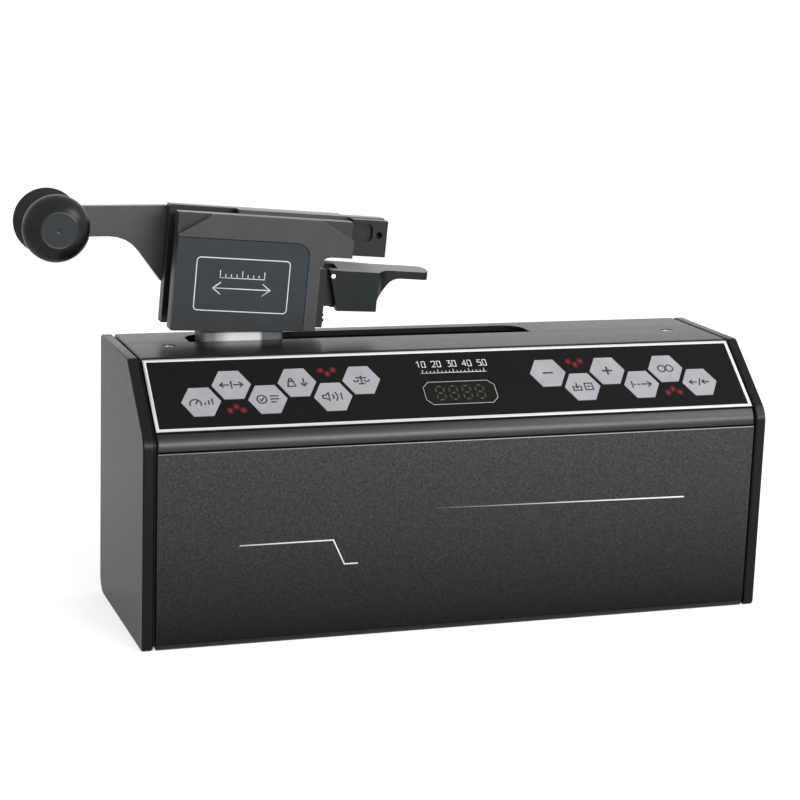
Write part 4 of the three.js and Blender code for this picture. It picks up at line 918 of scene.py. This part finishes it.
screw_low, screw_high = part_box("lead_screw")
screw_y = (screw_low.y + screw_high.y) / 2 / MM
screw_z = (screw_low.z + screw_high.z) / 2 / MM
screw_from, screw_to = screw_low.x / MM, screw_high.x / MM
screw_turn = facing(WORLD, (0, screw_y, screw_z), BACK, UP)
screw_line = WORLD @ Matrix.Translation((0, screw_y, screw_z))
block_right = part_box("shaft_block_left")[1].x / MM
bearing_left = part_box("shaft_block_right")[0].x / MM
rod = bmesh.new()
for low, high in ((screw_from, block_right + 1.5), (bearing_left - 1.5, screw_to)):
    add_lathe(rod, [
        (0, low), (JOURNAL_TIP, low), (JOURNAL_RADIUS, low + CHAMFER), (JOURNAL_RADIUS, high),
        (0, high),
    ], screw_turn, 32)
add_thread(rod, block_right + 1.2, bearing_left - 1.2, screw_line)
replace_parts(make("lead_screw_thread", rod, "screw", "ground"), "lead_screw")


# Screws of the head, the nut and the bracket, each with its hexagonal socket

# Radius and height of a screw's head
LARGE_SCREW, MIDDLE_SCREW, SMALL_SCREW = (3.4, 2.6), (2.6, 1.8), (1.7, 1.3)
PLATE_BACK, ARM_BACK, BRACKET_RIGHT, NUT_SCREW_CIRCLE = 36.5, 43.0, 99.2, 8.6
plate_back = facing(IN_HEAD, (0, PLATE_BACK, 0), LEFT, UP)
arm_back = facing(IN_HEAD, (0, ARM_BACK, 0), LEFT, UP)
bracket_side = facing(IN_HEAD, (BRACKET_RIGHT, 0, 0), BACK, UP)
nut_face = facing(WORLD, (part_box("lead_nut")[0].x / MM, screw_y, screw_z), FORTH, UP)
for name, face, places, size, body, key, slot in (
    ("rear_plate_screws", plate_back, [(-54, 66), (-102, 66), (-85, 11), (-85, 42)], LARGE_SCREW,
     "head", "dark_steel", "black_anodised"),
    ("arm_screws", arm_back, [(-7, 64), (-28, 64), (-28, 34)], LARGE_SCREW,
     "head", "dark_steel", "black_anodised"),
    ("bracket_screws", bracket_side, [(17, 9.4), (27, 9.4)], MIDDLE_SCREW,
     "head", "steel", "bright_steel"),
    ("nut_screws", nut_face, circle(0, 0, NUT_SCREW_CIRCLE, 8)[1::2], SMALL_SCREW,
     "carriage", "steel", "bright_steel"),
):
    heads = bmesh.new()
    for x, y in places:
        add_socket_head(heads, face, x, y, *size)
    make(name, heads, body, key)


# The load cell's sealed gauges

PAD_REACH, PAD_HALF_WIDTH, PAD_RADIUS, PAD_SINK, PAD_RISE = 9, 4.2, 2, 0.1, 0.45
cell_low, cell_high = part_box("load_cell")
cell_x, cell_y = (cell_low.x + cell_high.x) / 2 / MM, (cell_low.y + cell_high.y) / 2 / MM
cell_top = cell_high.z / MM
pad_outline = rounded_box(
    cell_x - PAD_REACH, cell_x + PAD_REACH, cell_y - PAD_HALF_WIDTH, cell_y + PAD_HALF_WIDTH,
    PAD_RADIUS,
)
pad = bmesh.new()
add_prism(pad, pad_outline, WORLD, cell_top - PAD_SINK, cell_top + PAD_RISE)
make("gauge_sealant", pad, "carriage", "sealant", 0.25)


# The back: the inlet's metal contacts and the marks on the rocker

INLET_X, CONTACT_STEP, CONTACT_HALF_X, CONTACT_HALF_Z = 138, 7, 1.15, 2.15
CONTACT_FOOT, CONTACT_TIP = -15.8, -5.5
contacts = bmesh.new()
for x, z in ((INLET_X - CONTACT_STEP, 37.6), (INLET_X + CONTACT_STEP, 37.6), (INLET_X, 42.4)):
    blade = rounded_box(
        x - CONTACT_HALF_X, x + CONTACT_HALF_X, z - CONTACT_HALF_Z, z + CONTACT_HALF_Z, 0.3
    )
    add_prism(contacts, blade, ON_BACK, CONTACT_FOOT, CONTACT_TIP)
make("inlet_contacts", contacts, "housing", "steel", 0.2)

# The rocker's two faces meet at its ridge, and the upper one is tilted at rest
ROCKER_X, ROCKER_Z, RIDGE_Y, RIDGE_Z = -96, 40, 63.7 + 2.184, 39.732
ROCKER_TILT, ROCKER_LINE = math.radians(14.0), 0.55
rocker_lower = facing(WORLD, (ROCKER_X, RIDGE_Y, ROCKER_Z), LEFT, UP)
rocker_upper = facing(
    WORLD, (ROCKER_X, RIDGE_Y, RIDGE_Z), LEFT, (0, math.sin(ROCKER_TILT), math.cos(ROCKER_TILT))
)
off_mark, on_mark = circle(0, -3.9, 1.5, 20), [(0, 2.4), (0, 5.4)]
marks = bmesh.new()
add_band(marks, off_mark, ROCKER_LINE, rocker_lower, -PRINT_SINK, PRINT, closed=True)
add_band(marks, on_mark, ROCKER_LINE, rocker_upper, -PRINT_SINK, PRINT)
make("rocker_marks", marks, "rocker", "white_print")


# The photograph's camera

YAW, PITCH, ROLL = math.radians(19.41), math.radians(-12.33), math.radians(1.94)
CAMERA_AT, LENS, SENSOR = (-0.4506, -1.2117, 0.4112), 94.78, 36.0
ahead = Vector((math.sin(YAW) * math.cos(PITCH), math.cos(YAW) * math.cos(PITCH), math.sin(PITCH)))
level = Vector((math.cos(YAW), -math.sin(YAW), 0))
above = level.cross(ahead)
side = level * math.cos(ROLL) + above * math.sin(ROLL)
top = above * math.cos(ROLL) - level * math.sin(ROLL)
camera = bpy.data.objects.new("camera", bpy.data.cameras.new("camera"))
camera.data.lens = LENS
camera.data.sensor_width = SENSOR
camera.data.clip_start, camera.data.clip_end = 0.05, 40.0
place = Matrix((side, top, -ahead)).transposed().to_4x4()
place.translation = Vector(CAMERA_AT)
camera.matrix_world = place
bpy.context.scene.collection.objects.link(camera)
bpy.context.scene.camera = camera


# Floor, background and lamps

WHITE = (1, 1, 1, 1)


def empty_tree(owner):
    owner.use_nodes = True
    owner.node_tree.nodes.clear()
    return owner.node_tree


def seen_directly(tree, in_gloss):
    """1 for camera and transmission rays, which see a white ground, and a share in gloss."""
    rays = add_node(tree, "ShaderNodeLightPath").outputs
    total = 0.0
    for ray, share in (
        ("Is Camera Ray", 1.0), ("Is Transmission Ray", 1.0), ("Is Glossy Ray", in_gloss),
    ):
        inputs = {0: rays[ray], 1: share, 2: total}
        total = add_node(tree, "ShaderNodeMath", inputs, operation="MULTIPLY_ADD").outputs[0]
    return total


def add_world():
    """White where it is seen or mirrored, and dimmer as light on the object."""
    world = bpy.data.worlds.new("studio")
    bpy.context.scene.world = world
    tree = empty_tree(world)
    dim = add_node(tree, "ShaderNodeBackground", {"Color": WHITE, "Strength": 0.55})
    white = add_node(tree, "ShaderNodeBackground", {"Color": WHITE})
    mixed = add_node(tree, "ShaderNodeMixShader", {
        "Fac": seen_directly(tree, 1.0), 1: dim.outputs[0], 2: white.outputs[0],
    })
    add_node(tree, "ShaderNodeOutputWorld", {"Surface": mixed.outputs[0]})


def floor_material():
    """A pale diffuse floor that keeps shadows, lifted towards white where it is seen."""
    pale = bpy.data.materials.new("pale_floor")
    tree = empty_tree(pale)
    plain = add_node(tree, "ShaderNodeBsdfDiffuse", {"Color": (0.8, 0.8, 0.8, 1)})
    lift = add_node(tree, "ShaderNodeEmission", {
        "Color": (0.62, 0.62, 0.62, 1), "Strength": seen_directly(tree, 0.4),
    })
    both = add_node(tree, "ShaderNodeAddShader", {0: plain.outputs[0], 1: lift.outputs[0]})
    add_node(tree, "ShaderNodeOutputMaterial", {"Surface": both.outputs[0]})
    return pale


def add_floor(reach=12.0, drop=0.0002):
    """A square floor a hair under the part, in metres."""
    corners = [(-reach, -reach), (reach, -reach), (reach, reach), (-reach, reach)]
    mesh_data = bmesh.new()
    mesh_data.faces.new([mesh_data.verts.new((x, y, -drop)) for x, y in corners])
    mesh = bpy.data.meshes.new("floor")
    mesh_data.to_mesh(mesh)
    mesh_data.free()
    mesh.materials.append(floor_material())
    floor = bpy.data.objects.new("floor", mesh)
    bpy.context.scene.collection.objects.link(floor)


def lamp(name, at, towards, size, power):
    data = bpy.data.lights.new(name, "AREA")
    data.shape = "RECTANGLE"
    data.size, data.size_y = size
    data.energy = power
    obj = bpy.data.objects.new(name, data)
    obj.location = at
    obj.rotation_euler = (Vector(towards) - Vector(at)).to_track_quat("-Z", "Y").to_euler()
    bpy.context.scene.collection.objects.link(obj)


add_world()
add_floor()
lamp("key_lamp", (0.65, -1.25, 0.93), (0, 0, 0.13), (1.3, 0.5), 3.0)
lamp("side_lamp", (0.74, -0.66, 0.86), (-0.19, 0, 0.2), (0.6, 0.55), 5.0)
lamp("low_lamp", (0.45, -1.6, 0.6), (0, 0, 0.12), (1.4, 0.24), 19.0)

bpy.context.scene.view_settings.view_transform = "Standard"
